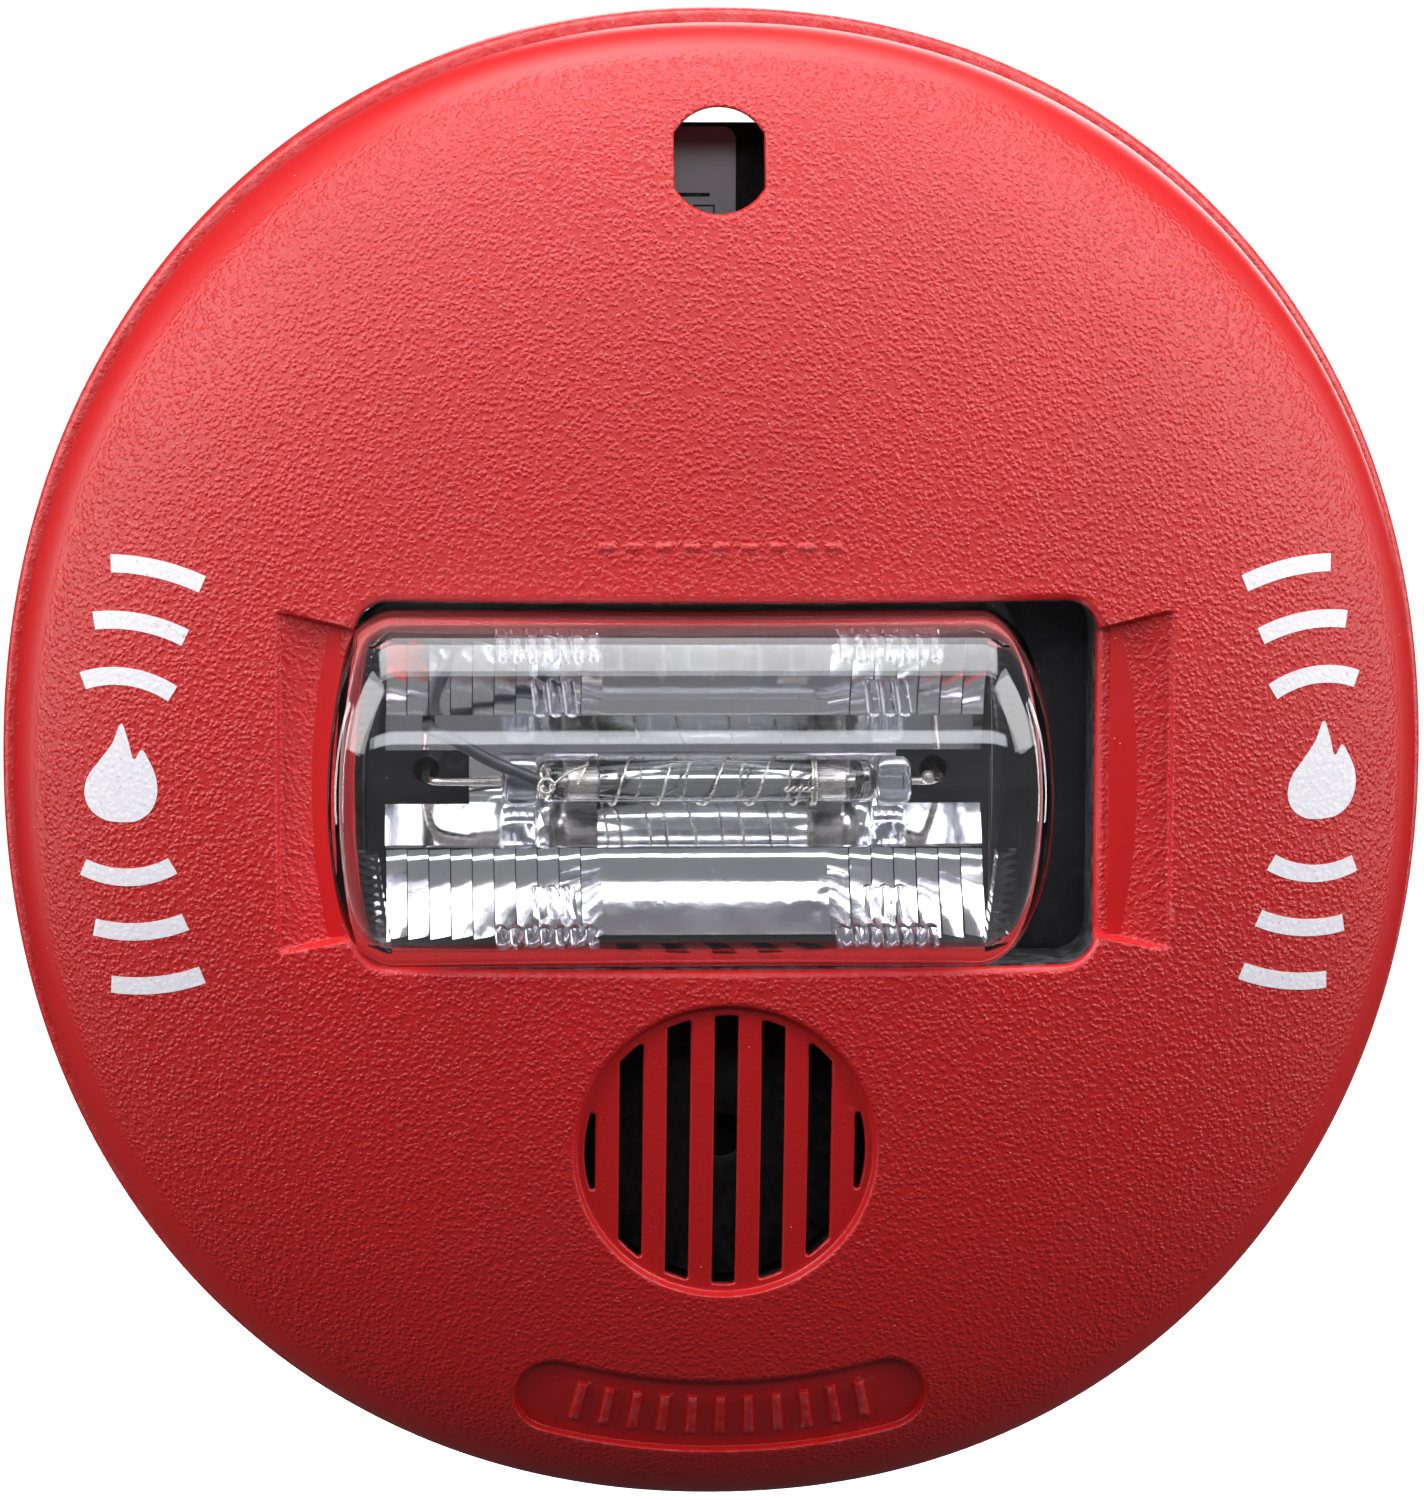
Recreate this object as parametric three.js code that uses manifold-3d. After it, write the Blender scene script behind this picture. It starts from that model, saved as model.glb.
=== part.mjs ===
// A wall or ceiling horn strobe: a red domed head with a xenon flash tube and a piezo horn, which tilts
// off a red mounting base. Millimetres. Every piece is drawn in the face frame: +x to the right, +y up
// the face, +z straight out of the wall, with z = 0 on the wall. The last lines stand the face up, so
// that it looks along -Y with +Z up, and the origin is the middle of the face that lies on the wall.

import * as THREE from 'three';
import { mergeVertices } from 'three/addons/utils/BufferGeometryUtils.js';
import Module from 'manifold-3d';

const wasm = await Module();
wasm.setup();

// ---------------------------------------------------------------- driving dimensions

const GAP = 0.3; // between two pieces that meet
const SMALL_GAP = 0.1;
const RUNNING_GAP = 0.5; // between two pieces that move past each other

const COVER_WIDTH = 169.6;
const COVER_HEIGHT = 179;
const OUTLINE_POWER = 2.11; // 2 is an ellipse, more is squarer
const OUTLINE_SIDES = 56;
const DOME_STEPS = 9;

const BASE_DEPTH = 12;
const BASE_WALL = 2.2;
const BASE_FLOOR = 2.5;
const FLANGE_LEDGE = 1.6; // how far the base stands out past the cover
const WIRE_OPENING_RADIUS = 36;
const BOX_SCREW_CIRCLE = 44.45; // octagon and square boxes
const GANG_SCREW_SPACING = 83.3; // single gang box
const BOX_SLOT_WIDTH = 4.6;
const BOX_SLOT_LENGTH = 12;

const COVER_WALL = 2.5;
const RIM_HEIGHT = 4.5;
const DOME_RISE = 26;
const RIM_CHAMFER = 0.9;

const WINDOW_WIDTH = 87.6;
const WINDOW_HEIGHT = 43.4;
const WINDOW_Y = 0.8;
const WINDOW_CORNER = 4;
const COLLAR_WALL = 1.6;
const COLLAR_BACK = 4.5; // how far the collar reaches in behind the dome at the window's edge

const SCOOP_LENGTH = 9.3;
const SCOOP_DEPTH = 3;
const SCOOP_OUTER_HEIGHT = 40.8;
const SCOOP_TAPER = 3.1;
const SCOOP_LIP = 0.3;

const GRILLE_RADIUS = 18.2;
const GRILLE_BELOW_WINDOW = 4.1;
const GRILLE_RECESS = 1.2;
const SLOT_COUNT = 7;
const SLOT_WIDTH = 2.8;
const SLOT_PITCH = 5.6;
const SLOT_FIELD_RADIUS = 16.7;

const KEY_HOLE_X = -0.8;
const KEY_HOLE_BELOW_TOP = 15.9;
const KEY_HOLE_RADIUS = 6.2;
const KEY_HOLE_FLATS = 10.7;

const POCKET_ABOVE_BOTTOM = 12.2; // middle line of the curved nameplate pocket
const POCKET_WIDTH = 10;
const POCKET_HALF_ANGLE = 15;
const POCKET_DEPTH = 1;

const CHASSIS_RADIAL_GAP = 1.05;
const CHASSIS_WALL = 1.8;
const CHASSIS_FLOOR = 1.8;
const CHASSIS_LIFT = 1; // above the base's floor
const CHASSIS_RIM_Z = 14;

const TONGUE_WIDTH = 12;
const TONGUE_OFFSET = 11;
const TONGUE_THICK = 2.2;
const TONGUE_DROP = 3; // below the lip that holds it
const LIP_THICK = 1.8;

const LATCH_WIDTH = 12;
const LATCH_THICK = 1;
const LATCH_TOP_Z = 11.3;
const LATCH_BARB = 1.4;
const LATCH_BARB_HEIGHT = 2;

const SCREW_ANGLE = 43; // degrees up from the sideways axis
const BOSS_INSET = 7.8; // in from the cover's inner wall
const BOSS_RADIUS = 4;
const SCREW_SHANK_RADIUS = 1.5;
const SCREW_HEAD_RADIUS = 3;
const SCREW_HEAD_HEIGHT = 1.7;
const SCREW_LENGTH = 11;
const BOSS_FOOT_Z = 7;

const BOARD_Z = 14.6;
const BOARD_THICK = 1.6;
const BOARD_SCREW_RADIUS = 1.2;
const BOARD_SCREW_HEAD_RADIUS = 2.6;
const BOARD_SCREW_LENGTH = 6;
const BOARD_SCREW_HEAD = 1.8;
const HORN_LEAD_RADIUS = 0.6;
const POST_RADIUS = 3.2;
const BOARD_MARGIN = 7.1; // in from the cover's inner wall
const BOARD_TOP_TRIM = 2; // the flat cut off the board's top end
const SIGHT_GAP_WIDTH = 18; // opening behind the key hole, in the chassis and the base
const SIGHT_GAP_HEIGHT = 9;

const LENS_HALF_LENGTH = 38.6;
const LENS_SIDE_GAP = 0.7;
const LENS_SHOULDER_Z = 42;
const LENS_CROWN_Z = 58;
const LENS_WALL = 1.8;
const LENS_BULGE = 3.9;
const LENS_BULGE_Z = 50;
const LENS_BULGE_HEIGHT = 11.5;
const LENS_CORNER = 5;
const LENS_FOOT = 1.4;
const LENS_FOOT_THICK = 1.6;
const PRISM_WIDTH = 12.3;
const PRISM_OFFSET = 19.8;
const PRISM_DEPTH = 4.2;
const PRISM_HEIGHT = 6;

const TRAY_THICK = 2;
const TRAY_TOP_Z = 25;
const TRAY_SIDE_MARGIN = 8.2; // past the window
const TRAY_TOP_MARGIN = 1.6; // past the lens's foot
const TRAY_POST_RADIUS = 3;

const OPTICS_X = 3.5; // the mirror's smooth part and the prisms, from the module's middle
const MIRROR_END_GAP = 1.5;
const MIRROR_SIDE_GAP = 2.4;
const MIRROR_RIM_Z = 44;
const MIRROR_WALL = 1.4;
const MIRROR_STEP = 2.6;
const MIRROR_STEP_RISE = 0.2;
const MIRROR_LAP = 0.4;
const MIRROR_CENTRE_LENGTH = 26.6;
const MIRROR_SLOT_WIDTH = 6.4;
const MIRROR_SLOT_LENGTH = 10;

const TUBE_RADIUS = 2.5;
const TUBE_Z = 36;
const TUBE_LENGTH = 40;
const TUBE_X = 2.6; // from the module's middle
const CAP_LENGTH = 4;
const LEAD_RADIUS = 0.45;
const TRIGGER_LEAD_RADIUS = 0.75;
const LEAD_HOLE_RADIUS = 1.7;
const TRIGGER_WIRE_RADIUS = 0.2;
const TRIGGER_PITCH = 5.4;
const TRIGGER_TURNS = 5;

const HORN_RADIUS = 19.4;
const HORN_WALL = 1.8;
const HORN_CLEARANCE = 3.8; // below the cover
const DIAPHRAGM_Z = 21;
const DIAPHRAGM_THICK = 0.4;
const CERAMIC_RADIUS = 11;
const HORN_PLATE_HOLE = 2.6;

const TERMINAL_COUNT = 4;
const TERMINAL_PITCH = 10;
const TERMINAL_Y = 20;
const TERMINAL_DEPTH = 13;
const TERMINAL_SCREW_RADIUS = 2.5;
const TERMINAL_CELL = 4.2; // half the width of a wire's room

const DIP_COUNT = 3;
const DIP_PITCH = 2.54;
const DIP_TRAVEL = 1.6;
const CANDELA_TRAVEL = 9;

// ---------------------------------------------------------------- sizes that follow

const coverHalfWidth = COVER_WIDTH / 2;
const coverHalfHeight = COVER_HEIGHT / 2;
const coverRadius = (coverHalfWidth + coverHalfHeight) / 2;
const baseRadius = coverRadius + FLANGE_LEDGE;
const coverEdgeZ = BASE_DEPTH + RUNNING_GAP;
const shoulderZ = coverEdgeZ + RIM_HEIGHT;
const crownZ = shoulderZ + DOME_RISE;
const chassisRadius = coverRadius - COVER_WALL - CHASSIS_RADIAL_GAP;
const chassisBackZ = BASE_FLOOR + CHASSIS_LIFT;
const chassisFloorZ = chassisBackZ + CHASSIS_FLOOR;
const boardRadius = coverRadius - COVER_WALL - BOARD_MARGIN;
const boardTopZ = BOARD_Z + BOARD_THICK;
const boardFrontZ = boardTopZ + GAP;
const boardBackZ = BOARD_Z - GAP;
const lensHalfHeight = WINDOW_HEIGHT / 2 - LENS_SIDE_GAP;
const lensFootZ = TRAY_TOP_Z + GAP;
const moduleX = -WINDOW_WIDTH / 2 + GAP + LENS_HALF_LENGTH; // the lens stands close to the window's left end
const trayHalfWidth = WINDOW_WIDTH / 2 + TRAY_SIDE_MARGIN;
const trayHalfHeight = lensHalfHeight + LENS_FOOT + TRAY_TOP_MARGIN;
const mirrorLength = 2 * (LENS_HALF_LENGTH - LENS_WALL - MIRROR_END_GAP);
const mirrorHalfHeight = lensHalfHeight - LENS_WALL - MIRROR_SIDE_GAP;
const tubeX = moduleX + TUBE_X;
const opticsX = moduleX + OPTICS_X;
const grilleY = WINDOW_Y - WINDOW_HEIGHT / 2 - GRILLE_BELOW_WINDOW - GRILLE_RADIUS;
const keyHoleY = coverHalfHeight - KEY_HOLE_BELOW_TOP;
const pocketRadius = coverHalfHeight - POCKET_ABOVE_BOTTOM;
const leadPlace = { x: moduleX - 30, y: WINDOW_Y + 6.4 }; // where the trigger lead comes up
const farOut = crownZ + 40;
const farBack = -20;

// ---------------------------------------------------------------- solids from three.js geometry

function solid(geometry) {
  const bare = geometry.clone();
  bare.deleteAttribute('normal');
  bare.deleteAttribute('uv');
  const merged = mergeVertices(bare, 1e-4);
  const index = Array.from(merged.index.array);
  const kept = [];
  for (let i = 0; i < index.length; i += 3) {
    const [a, b, c] = index.slice(i, i + 3);
    if (a !== b && b !== c && c !== a) kept.push(a, b, c);
  }
  return new wasm.Manifold(new wasm.Mesh({
    numProp: 3,
    vertProperties: new Float32Array(merged.attributes.position.array),
    triVerts: new Uint32Array(kept),
  }));
}

function join(...pieces) {
  return pieces.reduce((whole, piece) => whole.add(piece));
}

function mesh(name, piece, material) {
  const { vertProperties, triVerts } = piece.getMesh();
  const geometry = new THREE.BufferGeometry();
  geometry.setAttribute('position', new THREE.BufferAttribute(Float32Array.from(vertProperties), 3));
  geometry.setIndex(Array.from(triVerts));
  geometry.computeVertexNormals();
  const result = new THREE.Mesh(geometry, material);
  result.name = name;
  return result;
}

function box([x0, x1], [y0, y1], [z0, z1]) {
  const geometry = new THREE.BoxGeometry(x1 - x0, y1 - y0, z1 - z0);
  return solid(geometry.translate((x0 + x1) / 2, (y0 + y1) / 2, (z0 + z1) / 2));
}

function prism(shape, z0, z1, curveSegments = 8) {
  const geometry = new THREE.ExtrudeGeometry(shape, { depth: z1 - z0, bevelEnabled: false, curveSegments });
  return solid(geometry.translate(0, 0, z0));
}

// A closed side profile, drawn as (y, z), extruded along x from x0 to x1.
function bar(points, x0, x1) {
  const shape = new THREE.Shape(points.map(([y, z]) => new THREE.Vector2(y, z)));
  const geometry = new THREE.ExtrudeGeometry(shape, { depth: x1 - x0, bevelEnabled: false });
  geometry.applyMatrix4(new THREE.Matrix4().set(0, 0, 1, x0, 1, 0, 0, 0, 0, 1, 0, 0, 0, 0, 0, 1));
  return solid(geometry);
}

// A profile of (radius, z) points turned about the z axis through (x, y).
function turned(points, x, y, sides = 24) {
  const profile = points.map(([radius, z]) => new THREE.Vector2(radius, z));
  const geometry = new THREE.LatheGeometry(profile, sides);
  return geometry.rotateX(Math.PI / 2).translate(x, y, 0);
}

function disc(radius, x, y, z0, z1, sides = 24) {
  return solid(turned([[0, z0], [radius, z0], [radius, z1], [0, z1]], x, y, sides));
}

// A round bar along x.
function roundBar(radius, x0, x1, y, z, sides = 16) {
  const geometry = new THREE.CylinderGeometry(radius, radius, x1 - x0, sides);
  return solid(geometry.rotateZ(Math.PI / 2).translate((x0 + x1) / 2, y, z));
}

// A round wire along a curve.
function wire(curve, radius, steps, sides = 8) {
  const section = new THREE.Shape();
  section.absarc(0, 0, radius, 0, 2 * Math.PI, false);
  const geometry = new THREE.ExtrudeGeometry(section, {
    steps, extrudePath: curve, bevelEnabled: false, curveSegments: sides / 2,
  });
  return solid(geometry);
}

function wireThrough(points, radius, steps) {
  const curve = new THREE.CatmullRomCurve3(points.map((p) => new THREE.Vector3(...p)), false, 'centripetal');
  return wire(curve, radius, steps);
}

function roundedRectangle(width, height, corner, x = 0, y = 0) {
  const [w, h, r] = [width / 2, height / 2, corner];
  const shape = new THREE.Shape();
  shape.moveTo(x - w + r, y - h);
  shape.lineTo(x + w - r, y - h);
  shape.absarc(x + w - r, y - h + r, r, -Math.PI / 2, 0, false);
  shape.lineTo(x + w, y + h - r);
  shape.absarc(x + w - r, y + h - r, r, 0, Math.PI / 2, false);
  shape.lineTo(x - w + r, y + h);
  shape.absarc(x - w + r, y + h - r, r, Math.PI / 2, Math.PI, false);
  shape.lineTo(x - w, y - h + r);
  shape.absarc(x - w + r, y - h + r, r, Math.PI, 1.5 * Math.PI, false);
  return shape;
}

// A band bent round the origin, with round ends.
function bentSlot(radius, width, middleAngle, halfAngle) {
  const [from, to] = [middleAngle - halfAngle, middleAngle + halfAngle].map(THREE.MathUtils.degToRad);
  const r = width / 2;
  const shape = new THREE.Shape();
  shape.absarc(0, 0, radius + r, from, to, false);
  shape.absarc(radius * Math.cos(to), radius * Math.sin(to), r, to, to + Math.PI, false);
  shape.absarc(0, 0, radius - r, to, from, true);
  const [startX, startY] = [radius * Math.cos(from), radius * Math.sin(from)];
  shape.absarc(startX, startY, r, from + Math.PI, from + 2 * Math.PI, false);
  return shape;
}

// ---------------------------------------------------------------- the oval outline and the dome

function ovalScale(angle) {
  const across = Math.abs(Math.cos(angle) / coverHalfWidth) ** OUTLINE_POWER;
  const up = Math.abs(Math.sin(angle) / coverHalfHeight) ** OUTLINE_POWER;
  return (across + up) ** (-1 / OUTLINE_POWER) / coverRadius;
}

// A profile of (radius, z) points swept round the oval outline; its radii are those of a mean circle.
function ovalTurned(points) {
  const geometry = turned(points, 0, 0, OUTLINE_SIDES);
  const position = geometry.attributes.position;
  for (let i = 0; i < position.count; i += 1) {
    const scale = ovalScale(Math.atan2(position.getY(i), position.getX(i)));
    position.setXY(i, position.getX(i) * scale, position.getY(i) * scale);
  }
  return solid(geometry);
}

function ovalDisc(radius, z0, z1) {
  return ovalTurned([[0, z0], [radius, z0], [radius, z1], [0, z1]]);
}

// How far from the middle of the outline the point (x, y) is, as a share of the way to the edge.
function shareAt(x, y) {
  return Math.min(Math.hypot(x, y) / coverRadius / ovalScale(Math.atan2(y, x)), 1);
}

function domeZ(x, y) {
  return shoulderZ + DOME_RISE * Math.sqrt(1 - shareAt(x, y) ** 2);
}

// The solid under the dome, moved in by an inset, standing on the plane z = floorZ.
function domeSolid(inset, floorZ, chamfer = 0) {
  const radius = coverRadius - inset;
  const rise = DOME_RISE - inset;
  const points = [[0, floorZ], [radius - chamfer, floorZ]];
  if (chamfer > 0) points.push([radius, floorZ + chamfer]);
  for (let i = 0; i < DOME_STEPS; i += 1) {
    const turn = (i / DOME_STEPS) * (Math.PI / 2);
    points.push([radius * Math.cos(turn), shoulderZ + rise * Math.sin(turn)]);
  }
  points.push([0, shoulderZ + rise]);
  return ovalTurned(points);
}

// What lies above the dome once the dome is moved in by a depth, inside a shape: it cuts a shallow
// recess of that depth.
function recess(shape, depth, curveSegments) {
  return prism(shape, shoulderZ, farOut, curveSegments).subtract(domeSolid(depth, 0));
}

// ---------------------------------------------------------------- materials

const plastic = (color, roughness) => new THREE.MeshStandardMaterial({ color, roughness, metalness: 0 });
const metal = (color, roughness) => new THREE.MeshStandardMaterial({ color, roughness, metalness: 1 });

const redPlastic = plastic('#c4161d', 0.45);
const blackPlastic = plastic('#17171a', 0.5);
const greyRubber = plastic('#b9bcc2', 0.6);
const blackRubber = plastic('#202124', 0.65);
const clearPlastic = new THREE.MeshStandardMaterial({
  color: '#e8eaf2', roughness: 0.06, metalness: 0, transparent: true, opacity: 0.3,
});
const tubeGlass = clearPlastic.clone();
const mirror = metal('#e6e6ea', 0.12);
const nickel = metal('#b9b5ad', 0.3);
const steel = metal('#a9abb0', 0.35);
const brass = metal('#b8923f', 0.35);
const board = plastic('#15201a', 0.4);
const paper = plastic('#d9d9dd', 0.7);
const ceramic = plastic('#e9e4d6', 0.5);
const capacitorSleeve = plastic('#1d2740', 0.35);
const copper = metal('#b4683a', 0.4);
const whitePlastic = plastic('#eceae4', 0.4);
const greenPlastic = plastic('#2f7d46', 0.45);

// ---------------------------------------------------------------- base

function bossPlaces() {
  const angle = THREE.MathUtils.degToRad(SCREW_ANGLE);
  const reach = (coverRadius - COVER_WALL - BOSS_INSET) * ovalScale(angle);
  return [[1, 1], [-1, 1], [-1, -1], [1, -1]]
    .map(([sx, sy]) => [sx * reach * Math.cos(angle), sy * reach * Math.sin(angle)]);
}

function sightGap(z0, z1, reach = 0) {
  const top = (chassisRadius - CHASSIS_WALL - 1) * ovalScale(Math.PI / 2);
  return box([-SIGHT_GAP_WIDTH / 2, SIGHT_GAP_WIDTH / 2], [top - SIGHT_GAP_HEIGHT, top + reach], [z0, z1]);
}

function tonguePlaces() {
  return [-TONGUE_OFFSET, TONGUE_OFFSET];
}

const lipZ = BASE_DEPTH - LIP_THICK;
const tongueTopZ = lipZ - TONGUE_DROP;

// The strip of the base's bottom wall that one tongue hooks under.
function tongueStrip(x, z0, z1) {
  return box([x - TONGUE_WIDTH / 2, x + TONGUE_WIDTH / 2], [-COVER_HEIGHT, -COVER_HEIGHT / 3], [z0, z1]);
}

function makeBase() {
  const inner = baseRadius - BASE_WALL;
  const edge = 1.2;
  let base = ovalTurned([
    [0, 0],
    [baseRadius - edge, 0],
    [baseRadius, edge],
    [baseRadius, BASE_DEPTH - edge],
    [baseRadius - edge, BASE_DEPTH],
    [inner, BASE_DEPTH],
    [inner, BASE_FLOOR],
    [0, BASE_FLOOR],
  ]);
  const lipRing = ovalDisc(baseRadius - BASE_WALL / 2, lipZ, BASE_DEPTH)
    .subtract(ovalDisc(chassisRadius + RUNNING_GAP, 0, farOut));
  for (const x of tonguePlaces()) base = base.add(tongueStrip(x, lipZ, BASE_DEPTH).intersect(lipRing));
  base = base.subtract(disc(WIRE_OPENING_RADIUS, 0, WINDOW_Y, farBack, BASE_DEPTH, 40));
  base = base.subtract(sightGap(farBack, BASE_FLOOR + 1));
  const halfAngle = THREE.MathUtils.radToDeg(BOX_SLOT_LENGTH / 2 / BOX_SCREW_CIRCLE);
  for (const angle of [45, 135, 225, 315]) {
    const slot = bentSlot(BOX_SCREW_CIRCLE, BOX_SLOT_WIDTH, angle, halfAngle);
    base = base.subtract(prism(slot, farBack, BASE_DEPTH, 4));
  }
  for (const side of [-1, 1]) {
    const slot = roundedRectangle(BOX_SLOT_LENGTH, BOX_SLOT_WIDTH, BOX_SLOT_WIDTH / 2 - 0.1,
      0, side * GANG_SCREW_SPACING / 2);
    base = base.subtract(prism(slot, farBack, BASE_DEPTH, 3));
  }
  return base;
}

function latchNearY() {
  return (chassisRadius + RUNNING_GAP) * ovalScale(Math.PI / 2);
}

// A springy hook that stands up from the base at the top. Its barb reaches into the gap in the chassis wall.
function makeLatch() {
  const near = latchNearY();
  const far = near + LATCH_THICK;
  const z0 = BASE_FLOOR + GAP;
  const root = 1.6;
  return bar([
    [near, z0],
    [far + 0.4, z0],
    [far, z0 + root],
    [far, LATCH_TOP_Z],
    [near - 0.2, LATCH_TOP_Z],
    [near - LATCH_BARB, LATCH_TOP_Z - LATCH_BARB_HEIGHT],
    [near, LATCH_TOP_Z - LATCH_BARB_HEIGHT],
  ], -LATCH_WIDTH / 2, LATCH_WIDTH / 2);
}

// ---------------------------------------------------------------- cover

function scoopPlan(side, grow) {
  const inner = WINDOW_WIDTH / 2 - 2;
  const outer = WINDOW_WIDTH / 2 + SCOOP_LENGTH + grow;
  const outerHalf = SCOOP_OUTER_HEIGHT / 2 + grow;
  const innerHalf = outerHalf - SCOOP_TAPER;
  return new THREE.Shape([
    [inner, -innerHalf], [outer, -outerHalf], [outer, outerHalf], [inner, innerHalf],
  ].map(([x, y]) => new THREE.Vector2(side * x, WINDOW_Y + y)));
}

// A flat ramp that sinks toward the end of the window. A grow above zero gives its backing.
function scoop(side, grow = 0) {
  const edge = WINDOW_WIDTH / 2;
  const outer = edge + SCOOP_LENGTH;
  const outerZ = domeZ(outer, SCOOP_OUTER_HEIGHT / 2) - SCOOP_LIP;
  const innerZ = domeZ(edge, SCOOP_OUTER_HEIGHT / 2) - SCOOP_DEPTH;
  const slope = (outerZ - innerZ) / SCOOP_LENGTH;
  const zAt = (x) => innerZ + slope * (x - edge) - grow;
  const [near, far] = [edge - 3, outer + grow + 1];
  const ramp = new THREE.Shape([
    [near, zAt(near)], [far, zAt(far)], [far, farOut], [near, farOut],
  ].map(([x, z]) => new THREE.Vector2(side * x, z)));
  const depth = SCOOP_OUTER_HEIGHT + 4 * grow + 2;
  const wedge = new THREE.ExtrudeGeometry(ramp, { depth, bevelEnabled: false });
  wedge.rotateX(Math.PI / 2).translate(0, WINDOW_Y + depth / 2, 0);
  return solid(wedge).intersect(prism(scoopPlan(side, grow), 0, farOut));
}

function grilleSlots() {
  const field = disc(SLOT_FIELD_RADIUS, 0, grilleY, 0, farOut, 36);
  const first = -(SLOT_COUNT - 1) / 2;
  const slots = [];
  for (let i = 0; i < SLOT_COUNT; i += 1) {
    const x = (first + i) * SLOT_PITCH;
    slots.push(box([x - SLOT_WIDTH / 2, x + SLOT_WIDTH / 2],
      [grilleY - GRILLE_RADIUS, grilleY + GRILLE_RADIUS], [shoulderZ, farOut]));
  }
  return join(...slots).intersect(field);
}

function keyHole() {
  const round = disc(KEY_HOLE_RADIUS, KEY_HOLE_X, keyHoleY, shoulderZ, farOut, 30);
  const half = KEY_HOLE_FLATS / 2;
  return round.intersect(box([KEY_HOLE_X - half, KEY_HOLE_X + half],
    [keyHoleY - KEY_HOLE_RADIUS, keyHoleY + KEY_HOLE_RADIUS], [shoulderZ, farOut]));
}

function windowShape(grow) {
  const [width, height] = [WINDOW_WIDTH + 2 * grow, WINDOW_HEIGHT + 2 * grow];
  return roundedRectangle(width, height, WINDOW_CORNER + grow, 0, WINDOW_Y);
}

function makeCover() {
  const outside = domeSolid(0, coverEdgeZ, RIM_CHAMFER);
  let cover = outside.subtract(domeSolid(COVER_WALL, coverEdgeZ - 1));
  const collarZ = domeZ(WINDOW_WIDTH / 2, WINDOW_HEIGHT / 2) - COLLAR_BACK - COVER_WALL;
  const inside = domeSolid(COVER_WALL / 2, coverEdgeZ);
  cover = cover.add(prism(windowShape(COLLAR_WALL), collarZ, farOut).intersect(inside));
  for (const side of [-1, 1]) cover = cover.add(scoop(side, COVER_WALL).intersect(inside));
  for (const [x, y] of bossPlaces()) {
    const boss = disc(BOSS_RADIUS, x, y, BOSS_FOOT_Z, farOut, 20).intersect(domeSolid(COVER_WALL / 2, 0));
    cover = cover.add(boss).subtract(disc(SCREW_SHANK_RADIUS + GAP, x, y, 0, BOSS_FOOT_Z + SCREW_LENGTH, 12));
  }
  for (const side of [-1, 1]) cover = cover.subtract(scoop(side));
  cover = cover.subtract(prism(windowShape(0), 0, farOut));
  const grilleDisc = new THREE.Shape();
  grilleDisc.absarc(0, grilleY, GRILLE_RADIUS, 0, 2 * Math.PI, false);
  cover = cover.subtract(recess(grilleDisc, GRILLE_RECESS, 20)).subtract(grilleSlots());
  cover = cover.subtract(keyHole());
  const pocket = bentSlot(pocketRadius, POCKET_WIDTH, -90, POCKET_HALF_ANGLE);
  return cover.subtract(recess(pocket, POCKET_DEPTH, 6));
}

// ---------------------------------------------------------------- chassis and its screws

const boardScrewPlaces = [[-34, 54], [34, 54], [-46, -38], [46, -38]];
const selectorPlace = { x: -16, y: -12 };
const dipPlace = { x: 15, y: -12 };
const inductorPlace = { x: 47, y: 33 };
const BOBBIN_RADIUS = 6;
const BOBBIN_CORE = 3;
const BOBBIN_COIL = 5.4;
const BOBBIN_HEIGHT = 8;
const BOBBIN_FLANGE = 1.4;
const terminalHalfWidth = (TERMINAL_COUNT * TERMINAL_PITCH) / 2 + 1;

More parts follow.
